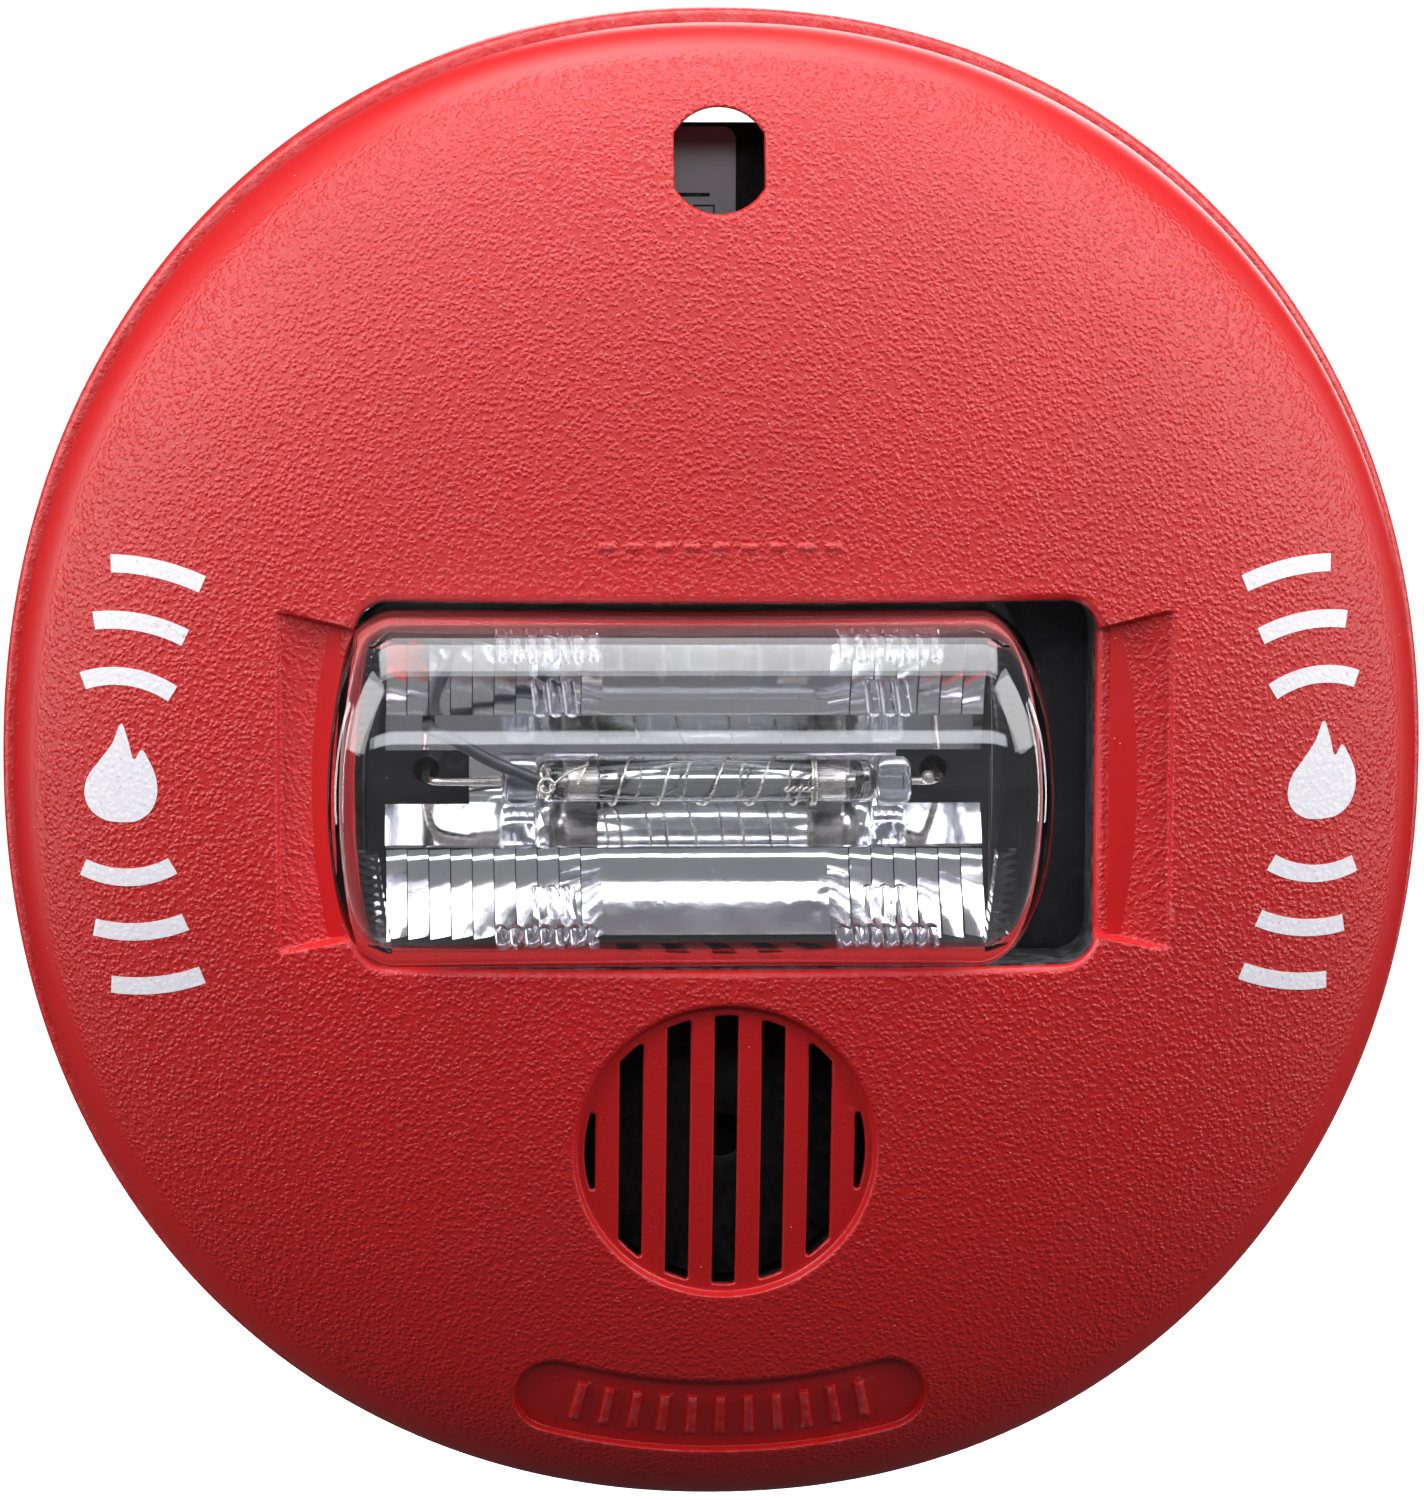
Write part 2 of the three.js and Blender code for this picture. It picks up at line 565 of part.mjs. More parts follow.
function makeChassis() {
  const inner = chassisRadius - CHASSIS_WALL;
  let chassis = ovalTurned([
    [0, chassisBackZ],
    [chassisRadius - 1, chassisBackZ],
    [chassisRadius, chassisBackZ + 1],
    [chassisRadius, CHASSIS_RIM_Z],
    [inner, CHASSIS_RIM_Z],
    [inner, chassisFloorZ],
    [0, chassisFloorZ],
  ]);
  const tongueRing = ovalDisc(baseRadius - BASE_WALL - RUNNING_GAP, tongueTopZ - TONGUE_THICK, tongueTopZ)
    .subtract(ovalDisc(inner, 0, farOut));
  for (const x of tonguePlaces()) {
    chassis = chassis.add(tongueStrip(x, 0, farOut).intersect(tongueRing));
  }
  chassis = chassis.subtract(sightGap(0, farOut, COVER_HEIGHT)); // open to the outside, for the latch
  for (const [x, y] of bossPlaces()) {
    chassis = chassis.subtract(disc(SCREW_SHANK_RADIUS + GAP, x, y, 0, CHASSIS_RIM_Z, 12));
    const pad = disc(BOSS_RADIUS, x, y, chassisFloorZ - 0.5, BOSS_FOOT_Z - GAP, 20);
    chassis = chassis.add(pad.subtract(disc(SCREW_SHANK_RADIUS + GAP, x, y, 0, CHASSIS_RIM_Z, 12)));
  }
  for (const [x, y] of boardScrewPlaces) {
    const post = disc(POST_RADIUS, x, y, chassisFloorZ - 0.5, BOARD_Z - SMALL_GAP, 14);
    const bore = disc(BOARD_SCREW_RADIUS + GAP, x, y, BOARD_Z - BOARD_SCREW_LENGTH - 1, farOut, 10);
    chassis = chassis.add(post.subtract(bore));
  }
  const room = 1;
  const cut = (x, y, halfX, halfY) => box([x - halfX - room, x + halfX + room],
    [y - halfY - room, y + halfY + room], [0, chassisFloorZ + 1]);
  chassis = chassis.subtract(cut(0, TERMINAL_Y, terminalHalfWidth, TERMINAL_DEPTH / 2));
  chassis = chassis.subtract(cut(selectorPlace.x, selectorPlace.y, 9, 3.5));
  return chassis.subtract(cut(dipPlace.x, dipPlace.y, 5.3, 5));
}

function makeCoverScrew(x, y) {
  const headZ = chassisBackZ - GAP;
  const head = disc(SCREW_HEAD_RADIUS, x, y, headZ - 0.6, headZ, 20);
  const shank = disc(SCREW_SHANK_RADIUS, x, y, headZ - 0.1, BOSS_FOOT_Z + SCREW_LENGTH - 1, 12);
  return head.add(shank);
}

// ---------------------------------------------------------------- board and what stands on it

function makeBoard() {
  const top = (boardRadius * ovalScale(Math.PI / 2)) - BOARD_TOP_TRIM;
  let plate = ovalDisc(boardRadius, BOARD_Z, boardTopZ);
  plate = plate.subtract(box([-COVER_WIDTH, COVER_WIDTH], [top, COVER_HEIGHT], [0, farOut]));
  const room = BOSS_RADIUS + 1;
  for (const [x, y] of bossPlaces()) {
    const outward = [x, Math.sign(x) * COVER_WIDTH].sort((p, q) => p - q);
    plate = plate.subtract(disc(room, x, y, 0, farOut, 20));
    plate = plate.subtract(box(outward, [y - room, y + room], [0, farOut]));
  }
  for (const [x, y] of boardScrewPlaces) {
    plate = plate.subtract(disc(BOARD_SCREW_RADIUS + GAP, x, y, 0, farOut, 10));
  }
  return plate;
}

function makeLabel() {
  const top = (boardRadius * ovalScale(Math.PI / 2)) - BOARD_TOP_TRIM - 0.5;
  const shape = roundedRectangle(30, 20, 1.6, -13.1, top - 10);
  return prism(shape, boardTopZ + 0.05, boardTopZ + 0.25, 4);
}

function makeCapacitor() {
  const [radius, length, x, y] = [8, 30, -25, 38];
  const z = boardFrontZ + radius;
  const can = roundBar(radius, x - length / 2, x + length / 2, y, z, 24);
  const groove = roundBar(radius + 1, x + length / 2 - 4.2, x + length / 2 - 3, y, z, 24)
    .subtract(roundBar(radius - 0.7, x + length / 2 - 5, x + length / 2 - 2, y, z, 24));
  return can.subtract(groove);
}

function makeTransformerCore() {
  return box([22, 34], [33, 45], [boardFrontZ, boardFrontZ + 9]);
}

function makeInductor() {
  const { x, y } = inductorPlace;
  const low = boardFrontZ + BOBBIN_FLANGE;
  const high = boardFrontZ + BOBBIN_HEIGHT - BOBBIN_FLANGE;
  return solid(turned([
    [0, boardFrontZ], [BOBBIN_RADIUS, boardFrontZ], [BOBBIN_RADIUS, low], [BOBBIN_CORE, low],
    [BOBBIN_CORE, high], [BOBBIN_RADIUS, high], [BOBBIN_RADIUS, boardFrontZ + BOBBIN_HEIGHT],
    [0, boardFrontZ + BOBBIN_HEIGHT],
  ], x, y, 20));
}

function makeInductorCoil() {
  const { x, y } = inductorPlace;
  const low = boardFrontZ + BOBBIN_FLANGE + GAP;
  const high = boardFrontZ + BOBBIN_HEIGHT - BOBBIN_FLANGE - GAP;
  return solid(turned([
    [BOBBIN_CORE + GAP, low], [BOBBIN_COIL, low], [BOBBIN_COIL, high], [BOBBIN_CORE + GAP, high],
    [BOBBIN_CORE + GAP, low],
  ], x, y, 20));
}

// A pan-head screw that holds the board down on a chassis post.
function makeBoardScrew(x, y) {
  const under = boardTopZ + SMALL_GAP;
  const head = disc(BOARD_SCREW_HEAD_RADIUS, x, y, under, under + BOARD_SCREW_HEAD, 14);
  return head.add(disc(BOARD_SCREW_RADIUS, x, y, BOARD_Z - BOARD_SCREW_LENGTH, boardTopZ + 0.2, 10));
}

// A thin wire from the board to the horn's diaphragm.
function makeHornLead(side) {
  const edge = HORN_RADIUS + 1;
  const footZ = boardFrontZ + HORN_LEAD_RADIUS;
  return wireThrough([
    [side * 4, grilleY + edge + 3, footZ],
    [side * 4, grilleY + edge + 2.4, boardFrontZ + 3],
    [side * 6, grilleY + edge - 0.2, boardFrontZ + 4],
    [side * 9, grilleY + edge - 0.9, boardFrontZ + 2],
    [side * 11, grilleY + edge - 1.6, footZ],
  ], HORN_LEAD_RADIUS, 14);
}

function makeChip(x, y, width, height, thick) {
  const [halfX, halfY] = [width / 2, height / 2];
  return box([x - halfX, x + halfX], [y - halfY, y + halfY], [boardFrontZ, boardFrontZ + thick]);
}

// ---------------------------------------------------------------- flash module

function makeTray() {
  const plate = prism(roundedRectangle(2 * trayHalfWidth, 2 * trayHalfHeight, 3, 0, WINDOW_Y),
    TRAY_TOP_Z - TRAY_THICK, TRAY_TOP_Z, 4);
  let tray = plate;
  for (const [sx, sy] of [[1, 1], [-1, 1], [-1, -1], [1, -1]]) {
    const [x, y] = [sx * (trayHalfWidth - 4), WINDOW_Y + sy * (trayHalfHeight - 4)];
    tray = tray.add(disc(TRAY_POST_RADIUS, x, y, boardFrontZ, TRAY_TOP_Z - 0.5, 12));
  }
  for (const side of [-1, 1]) {
    const x = moduleX + side * (mirrorLength / 2 - MIRROR_SLOT_LENGTH / 2);
    tray = tray.subtract(disc(1.6, x, WINDOW_Y, 0, farOut, 12));
  }
  return tray.subtract(disc(LEAD_HOLE_RADIUS, leadPlace.x, leadPlace.y, 0, farOut, 12));
}

// The D-shaped section of the lens, as (y, z) points, moved in by an inset.
function lensSection(inset, floorZ) {
  const half = lensHalfHeight - inset;
  const rise = LENS_CROWN_Z - LENS_SHOULDER_Z - inset;
  const steps = 12;
  const points = [[WINDOW_Y - half, floorZ]];
  for (let i = 0; i <= steps; i += 1) {
    const turn = Math.PI * (1 - i / steps);
    points.push([WINDOW_Y + half * Math.cos(turn), LENS_SHOULDER_Z + rise * Math.sin(turn)]);
  }
  points.push([WINDOW_Y + half, floorZ]);
  return points.reverse();
}

function lensBody(inset, floorZ) {
  const half = LENS_HALF_LENGTH - inset;
  const longer = half + 2 * LENS_BULGE;
  const straight = bar(lensSection(inset, floorZ), moduleX - half, moduleX + half);
  const envelope = bar(lensSection(inset, floorZ), moduleX - longer, moduleX + longer);
  const height = 2 * (lensHalfHeight - inset);
  const plan = roundedRectangle(2 * half, height, LENS_CORNER - inset, moduleX, WINDOW_Y);
  let body = straight.intersect(prism(plan, 0, farOut, 3));
  for (const side of [-1, 1]) {
    const cap = new THREE.SphereGeometry(1, 18, 10);
    cap.scale(LENS_BULGE, lensHalfHeight - 0.5 - inset, LENS_BULGE_HEIGHT - inset);
    cap.translate(moduleX + side * (half - 0.1), WINDOW_Y, LENS_BULGE_Z);
    body = body.add(solid(cap).intersect(envelope));
  }
  return body;
}

function makeLens() {
  const footTop = lensFootZ + LENS_FOOT_THICK;
  const plan = roundedRectangle(2 * (LENS_HALF_LENGTH + LENS_FOOT), 2 * (lensHalfHeight + LENS_FOOT),
    LENS_CORNER + LENS_FOOT, moduleX, WINDOW_Y);
  const foot = prism(plan, lensFootZ, footTop, 3);
  let lens = lensBody(0, lensFootZ).add(foot).subtract(lensBody(LENS_WALL, lensFootZ - 1));
  for (const [sx, sy] of [[1, 1], [-1, 1], [-1, -1], [1, -1]]) {
    const x = opticsX + sx * PRISM_OFFSET;
    const wall = WINDOW_Y + sy * (lensHalfHeight - LENS_WALL / 2);
    const inner = wall - sy * PRISM_DEPTH * 0.5;
    const across = [Math.min(wall, inner), Math.max(wall, inner)];
    const block = box([x - PRISM_WIDTH / 2, x + PRISM_WIDTH / 2], across,
      [MIRROR_RIM_Z - PRISM_HEIGHT, MIRROR_RIM_Z - 0.5]);
    lens = lens.add(block);
  }
  return lens;
}

// The upper face of half the mirror as (distance from the middle, z) points, opened by a grow.
function mirrorCurve(grow) {
  const [troughHalf, panelHalf] = [3.2, 9];
  const points = [[0, TUBE_Z - 5.2], [troughHalf, TUBE_Z - 4.4], [panelHalf, TUBE_Z - 1.4]];
  const steps = 3;
  for (let i = 0; i <= steps; i += 1) {
    const t = i / steps;
    const across = panelHalf + 0.3 + (mirrorHalfHeight - panelHalf - 0.3 - 1.4) * t;
    const up = TUBE_Z + 0.4 + (MIRROR_RIM_Z - 1.6 - TUBE_Z - 0.4) * t ** 1.6;
    points.push([across + grow * t, up + grow * t]);
  }
  return points;
}

function mirrorPiece(grow, x0, x1) {
  const half = mirrorCurve(grow);
  const left = half.slice(1).reverse().map(([y, z]) => [-y, z]);
  const top = [...left, ...half];
  const under = [...top].reverse().map(([y, z]) => [y, z - MIRROR_WALL]);
  return bar([...top, ...under].map(([y, z]) => [WINDOW_Y + y, z]).reverse(), x0, x1);
}

function makeMirror() {
  const centre = opticsX;
  const [from, to] = [moduleX - mirrorLength / 2, moduleX + mirrorLength / 2];
  const [c0, c1] = [centre - MIRROR_CENTRE_LENGTH / 2, centre + MIRROR_CENTRE_LENGTH / 2];
  let whole = mirrorPiece(0, c0, c1);
  const ends = [[c0, from], [c1, to]];
  for (const [start, end] of ends) {
    const count = Math.round(Math.abs(end - start) / MIRROR_STEP);
    const step = (end - start) / count;
    for (let i = 0; i < count; i += 1) {
      const near = start + i * step - Math.sign(step) * MIRROR_LAP;
      const far = start + (i + 1) * step;
      whole = whole.add(mirrorPiece(MIRROR_STEP_RISE * (i + 1), Math.min(near, far), Math.max(near, far)));
    }
    const slotEnd = end + Math.sign(end) * 1;
    const slotStart = end - Math.sign(end - start) * MIRROR_SLOT_LENGTH;
    whole = whole.subtract(box([Math.min(slotStart, slotEnd), Math.max(slotStart, slotEnd)],
      [WINDOW_Y - MIRROR_SLOT_WIDTH / 2, WINDOW_Y + MIRROR_SLOT_WIDTH / 2], [0, farOut]));
  }
  for (const x of [centre - 8, centre + 8]) {
    const foot = [TRAY_TOP_Z + GAP, TUBE_Z - 5.6];
    whole = whole.add(box([x - 1.5, x + 1.5], [WINDOW_Y - 2, WINDOW_Y + 2], foot));
  }
  return whole.subtract(disc(LEAD_HOLE_RADIUS, leadPlace.x, leadPlace.y, 0, farOut, 12));
}

function makeTube() {
  return roundBar(TUBE_RADIUS, tubeX - TUBE_LENGTH / 2, tubeX + TUBE_LENGTH / 2, WINDOW_Y, TUBE_Z, 20);
}

function makeTubeCap(side) {
  const near = tubeX + side * (TUBE_LENGTH / 2 + 0.1);
  const far = near + side * CAP_LENGTH;
  return roundBar(TUBE_RADIUS + 0.4, Math.min(near, far), Math.max(near, far), WINDOW_Y, TUBE_Z, 16);
}

function makeTubeLead(side) {
  const start = tubeX + side * (TUBE_LENGTH / 2 + CAP_LENGTH + 0.3);
  const drop = moduleX + side * (mirrorLength / 2 - MIRROR_SLOT_LENGTH / 2);
  const run = drop - start;
  return wireThrough([
    [start, WINDOW_Y, TUBE_Z],
    [start + run * 0.5, WINDOW_Y, TUBE_Z],
    [drop, WINDOW_Y, TUBE_Z - 2.5],
    [drop, WINDOW_Y, TUBE_Z - 10],
    [drop, WINDOW_Y, boardFrontZ],
  ], LEAD_RADIUS, 16);
}

class TriggerWinding extends THREE.Curve {
  getPoint(t, target = new THREE.Vector3()) {
    const radius = TUBE_RADIUS + GAP + TRIGGER_WIRE_RADIUS;
    const turn = 2 * Math.PI * TRIGGER_TURNS * t;
    const start = tubeX - (TRIGGER_TURNS * TRIGGER_PITCH) / 2 - 2;
    return target.set(start + TRIGGER_PITCH * TRIGGER_TURNS * t,
      WINDOW_Y + radius * Math.sin(turn), TUBE_Z + radius * Math.cos(turn));
  }
}

function makeTriggerWire() {
  return wire(new TriggerWinding(), TRIGGER_WIRE_RADIUS, TRIGGER_TURNS * 10, 6);
}

function makeTriggerLead() {
  const { x, y } = leadPlace;
  return wireThrough([
    [x, y, boardFrontZ],
    [x, y, TUBE_Z - 4],
    [x + 0.2, y, TUBE_Z + 1.5],
    [x + 2.4, y - 0.6, TUBE_Z + 4.3],
    [x + 7, y - 3, TUBE_Z + 4.8],
    [tubeX - TUBE_LENGTH / 2 + 1.2, WINDOW_Y + 0.6, TUBE_Z + TUBE_RADIUS + 1.2],
  ], TRIGGER_LEAD_RADIUS, 22);
}

// ---------------------------------------------------------------- horn

function makeHornCup() {
  const z = boardFrontZ;
  const inner = HORN_RADIUS - HORN_WALL;
  const top = domeZ(0, grilleY - HORN_RADIUS) - COVER_WALL - HORN_CLEARANCE;
  return solid(turned([
    [0, z], [HORN_RADIUS, z], [HORN_RADIUS, top - 0.8], [HORN_RADIUS - 0.6, top],
    [inner, top], [inner, DIAPHRAGM_Z - GAP], [inner - 1.4, DIAPHRAGM_Z - GAP],
    [inner - 1.4, z + 1.6], [0, z + 1.6],
  ], 0, grilleY, 28));
}

function makeDiaphragm() {
  return disc(HORN_RADIUS - HORN_WALL - GAP, 0, grilleY, DIAPHRAGM_Z, DIAPHRAGM_Z + DIAPHRAGM_THICK, 28);
}

function makeCeramic() {
  return disc(CERAMIC_RADIUS, 0, grilleY, DIAPHRAGM_Z - 0.5, DIAPHRAGM_Z - 0.1, 28);
}

function makeHornRing() {
  const outer = HORN_RADIUS - HORN_WALL - GAP;
  const z = DIAPHRAGM_Z + DIAPHRAGM_THICK + 0.2;
  return solid(turned([
    [HORN_PLATE_HOLE, z + 4.4], [HORN_PLATE_HOLE + 1.4, z + 4], [outer - 2, z + 3], [outer - 2, z],
    [outer, z], [outer, z + 5], [HORN_PLATE_HOLE + 2, z + 6], [HORN_PLATE_HOLE, z + 5.6],
    [HORN_PLATE_HOLE, z + 4.4],
  ], 0, grilleY, 28));
}

// ---------------------------------------------------------------- terminals and selectors on the back

const terminalBackZ = BASE_FLOOR + 0.5;

function terminalX(i) {
  return (i - (TERMINAL_COUNT - 1) / 2) * TERMINAL_PITCH;
}

function makeTerminalBlock() {
  let block = box([-terminalHalfWidth, terminalHalfWidth],
    [TERMINAL_Y - TERMINAL_DEPTH / 2, TERMINAL_Y + TERMINAL_DEPTH / 2], [terminalBackZ, boardBackZ]);
  for (let i = 0; i < TERMINAL_COUNT; i += 1) {
    const x = terminalX(i);
    block = block.subtract(disc(TERMINAL_SCREW_RADIUS + 0.6, x, TERMINAL_Y - 1.5, 0, boardBackZ - 2, 12));
    const across = [x - TERMINAL_CELL, x + TERMINAL_CELL];
    const mouth = box(across, [TERMINAL_Y + 1, TERMINAL_Y + TERMINAL_DEPTH], [0, boardBackZ - 3]);
    const room = box(across, [TERMINAL_Y - 5, TERMINAL_Y + 2], [5.6, boardBackZ - 3]);
    block = block.subtract(mouth).subtract(room);
  }
  return block;
}

function makeTerminalScrew(i) {
  const x = terminalX(i);
  const y = TERMINAL_Y - 1.5;
  const head = disc(TERMINAL_SCREW_RADIUS, x, y, terminalBackZ + 0.4, terminalBackZ + 2.4, 14);
  const shank = disc(1.3, x, y, terminalBackZ + 2.3, boardBackZ - 2.4, 8);
  const slot = box([x - TERMINAL_SCREW_RADIUS - 1, x + TERMINAL_SCREW_RADIUS + 1], [y - 0.4, y + 0.4],
    [0, terminalBackZ + 1.2]);
  return head.add(shank).subtract(slot);
}

function makeWireClamp(i) {
  const x = terminalX(i);
  const y = TERMINAL_Y - 1.5;
  const plate = box([x - 3.6, x + 3.6], [y - 3.2, y + 6.4], [terminalBackZ + 3.2, terminalBackZ + 4.2]);
  return plate.subtract(disc(1.3 + GAP, x, y, 0, farOut, 12));
}

function makeSelectorBody() {
  const { x, y } = selectorPlace;
  const body = box([x - 8.5, x + 8.5], [y - 3, y + 3], [chassisBackZ + 1, boardBackZ]);
  const groove = box([x - CANDELA_TRAVEL / 2 - 1.9, x + CANDELA_TRAVEL / 2 + 1.9], [y - 1.4, y + 1.4],
    [0, chassisBackZ + 4]);
  return body.subtract(groove);
}

function makeSelectorSlider() {
  const { x, y } = selectorPlace;
  const at = x - CANDELA_TRAVEL / 2;
  return box([at - 1.4, at + 1.4], [y - 1, y + 1], [chassisBackZ - 0.6, chassisBackZ + 3.6]);
}

function dipX(i) {
  return dipPlace.x + (i - (DIP_COUNT - 1) / 2) * DIP_PITCH;
}

function makeDipBody() {
  const half = (DIP_COUNT * DIP_PITCH) / 2 + 0.6;
  let body = box([dipPlace.x - half, dipPlace.x + half], [dipPlace.y - 4.4, dipPlace.y + 4.4],
    [chassisBackZ + 1, boardBackZ]);
  for (let i = 0; i < DIP_COUNT; i += 1) {
    const x = dipX(i);
    body = body.subtract(box([x - 0.85, x + 0.85],
      [dipPlace.y - DIP_TRAVEL / 2 - 1.2, dipPlace.y + DIP_TRAVEL / 2 + 1.2], [0, chassisBackZ + 3]));
  }
  return body;
}

function makeDipLever(i) {
  const x = dipX(i);
  const y = dipPlace.y - DIP_TRAVEL / 2;
  return box([x - 0.55, x + 0.55], [y - 0.8, y + 0.8], [chassisBackZ, chassisBackZ + 2.6]);
}

// ---------------------------------------------------------------- the whole

const face = new THREE.Group();
const add = (name, piece, material) => face.add(mesh(name, piece, material));

add('mounting_base', makeBase(), redPlastic);
add('release_latch', makeLatch(), blackPlastic);
add('front_cover', makeCover(), redPlastic);
add('chassis', makeChassis(), blackPlastic);
bossPlaces().forEach(([x, y], i) => add(`cover_screw_${i + 1}`, makeCoverScrew(x, y), steel));
add('circuit_board', makeBoard(), board);
boardScrewPlaces.forEach(([x, y], i) => add(`board_screw_${i + 1}`, makeBoardScrew(x, y), steel));
add('board_label', makeLabel(), paper);
add('strobe_capacitor', makeCapacitor(), capacitorSleeve);
add('trigger_transformer', makeTransformerCore(), blackPlastic);
add('inductor_core', makeInductor(), blackPlastic);
add('inductor_winding', makeInductorCoil(), copper);
add('control_chip', makeChip(45, -8, 10, 7, 1.8), blackPlastic);
add('bridge_rectifier', makeChip(-46, WINDOW_Y, 8, 7, 2.6), blackPlastic);
add('switching_transistor', makeChip(52, 8, 6, 10, 2.4), blackPlastic);
add('strobe_tray', makeTray(), blackPlastic);
add('strobe_lens', makeLens(), clearPlastic);
add('reflector', makeMirror(), mirror);
add('flash_tube', makeTube(), tubeGlass);
add('tube_sleeve_left', makeTubeCap(-1), greyRubber);
add('tube_sleeve_right', makeTubeCap(1), greyRubber);
add('tube_lead_left', makeTubeLead(-1), nickel);
add('tube_lead_right', makeTubeLead(1), nickel);
add('trigger_wire', makeTriggerWire(), nickel);
add('trigger_lead', makeTriggerLead(), blackRubber);
add('horn_cup', makeHornCup(), blackPlastic);
add('horn_diaphragm', makeDiaphragm(), brass);
add('piezo_disc', makeCeramic(), ceramic);
add('horn_throat_ring', makeHornRing(), blackPlastic);
add('horn_lead_red', makeHornLead(-1), redPlastic);
add('horn_lead_black', makeHornLead(1), blackRubber);
add('terminal_block', makeTerminalBlock(), greenPlastic);
for (let i = 0; i < TERMINAL_COUNT; i += 1) {
  add(`terminal_screw_${i + 1}`, makeTerminalScrew(i), steel);
  add(`wire_clamp_${i + 1}`, makeWireClamp(i), nickel);
}
add('candela_switch_body', makeSelectorBody(), blackPlastic);
add('candela_slider', makeSelectorSlider(), whitePlastic);
add('dip_switch_body', makeDipBody(), redPlastic);
for (let i = 0; i < DIP_COUNT; i += 1) add(`dip_lever_${i + 1}`, makeDipLever(i), whitePlastic);

face.rotation.x = Math.PI / 2;
const hornStrobe = new THREE.Group();
hornStrobe.add(face);

export default hornStrobe;
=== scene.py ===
"""The finish and the fine shape of a domed horn strobe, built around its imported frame.

Sizes are millimetres in the face frame: x to the right, y up the face and z out of the wall. The
function stand turns them into the row frame's metres. Each sub-assembly is a class that builds its
meshes and dresses them, and each finish is a frozen dataclass.
"""

from __future__ import annotations

import logging
import math
from dataclasses import dataclass, field
from enum import Enum
from typing import Sequence

import bmesh
import bpy
import numpy as np
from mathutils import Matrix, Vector
from mathutils.geometry import delaunay_2d_cdt


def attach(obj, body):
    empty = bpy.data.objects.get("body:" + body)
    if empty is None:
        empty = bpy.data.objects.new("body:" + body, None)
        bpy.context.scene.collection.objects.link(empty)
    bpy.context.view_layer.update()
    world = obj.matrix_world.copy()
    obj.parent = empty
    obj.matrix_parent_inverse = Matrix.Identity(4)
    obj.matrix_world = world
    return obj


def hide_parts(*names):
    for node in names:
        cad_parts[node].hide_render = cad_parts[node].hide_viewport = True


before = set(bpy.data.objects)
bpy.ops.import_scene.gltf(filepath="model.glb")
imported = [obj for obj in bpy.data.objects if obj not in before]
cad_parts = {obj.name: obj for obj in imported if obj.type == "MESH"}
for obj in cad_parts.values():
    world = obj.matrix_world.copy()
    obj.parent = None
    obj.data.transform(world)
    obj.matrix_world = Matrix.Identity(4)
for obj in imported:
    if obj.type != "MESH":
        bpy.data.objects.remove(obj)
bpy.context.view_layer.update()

log = logging.getLogger("horn_strobe")

Colour = tuple[float, float, float]
Place = tuple[float, float, float]
Pair = tuple[float, float]
Material = bpy.types.Material
Node = bpy.types.Node
NodeTree = bpy.types.NodeTree
Object = bpy.types.Object
Socket = bpy.types.NodeSocket

MILLIMETRE = 0.001


class Body(Enum):
    """The bodies that pieces ride on."""

    BASE = "base"
    HEAD = "head"


class Slot(Enum):
    """The record's material slots, which the new pieces are made with but do not keep."""

    RED = "red_moulding"
    BLACK = "black_moulding"
    LENS = "lens_clear"
    TUBE = "tube_glass"
    MIRROR = "mirror_coating"
    LEAD = "lead_nickel"
    SLEEVE = "sleeve_silicone"
    INSULATION = "lead_insulation"


# ---------------------------------------------------------------- meshes


def stand(points: np.ndarray) -> np.ndarray:
    """Turn face-frame millimetres into the row frame's metres.

    Args:
        points: An array of (x, y, z) rows in the face frame.

    Returns:
        The same rows in the row frame.
    """
    points = np.asarray(points, float).reshape(-1, 3)
    return np.column_stack((points[:, 0], -points[:, 2], points[:, 1])) * MILLIMETRE


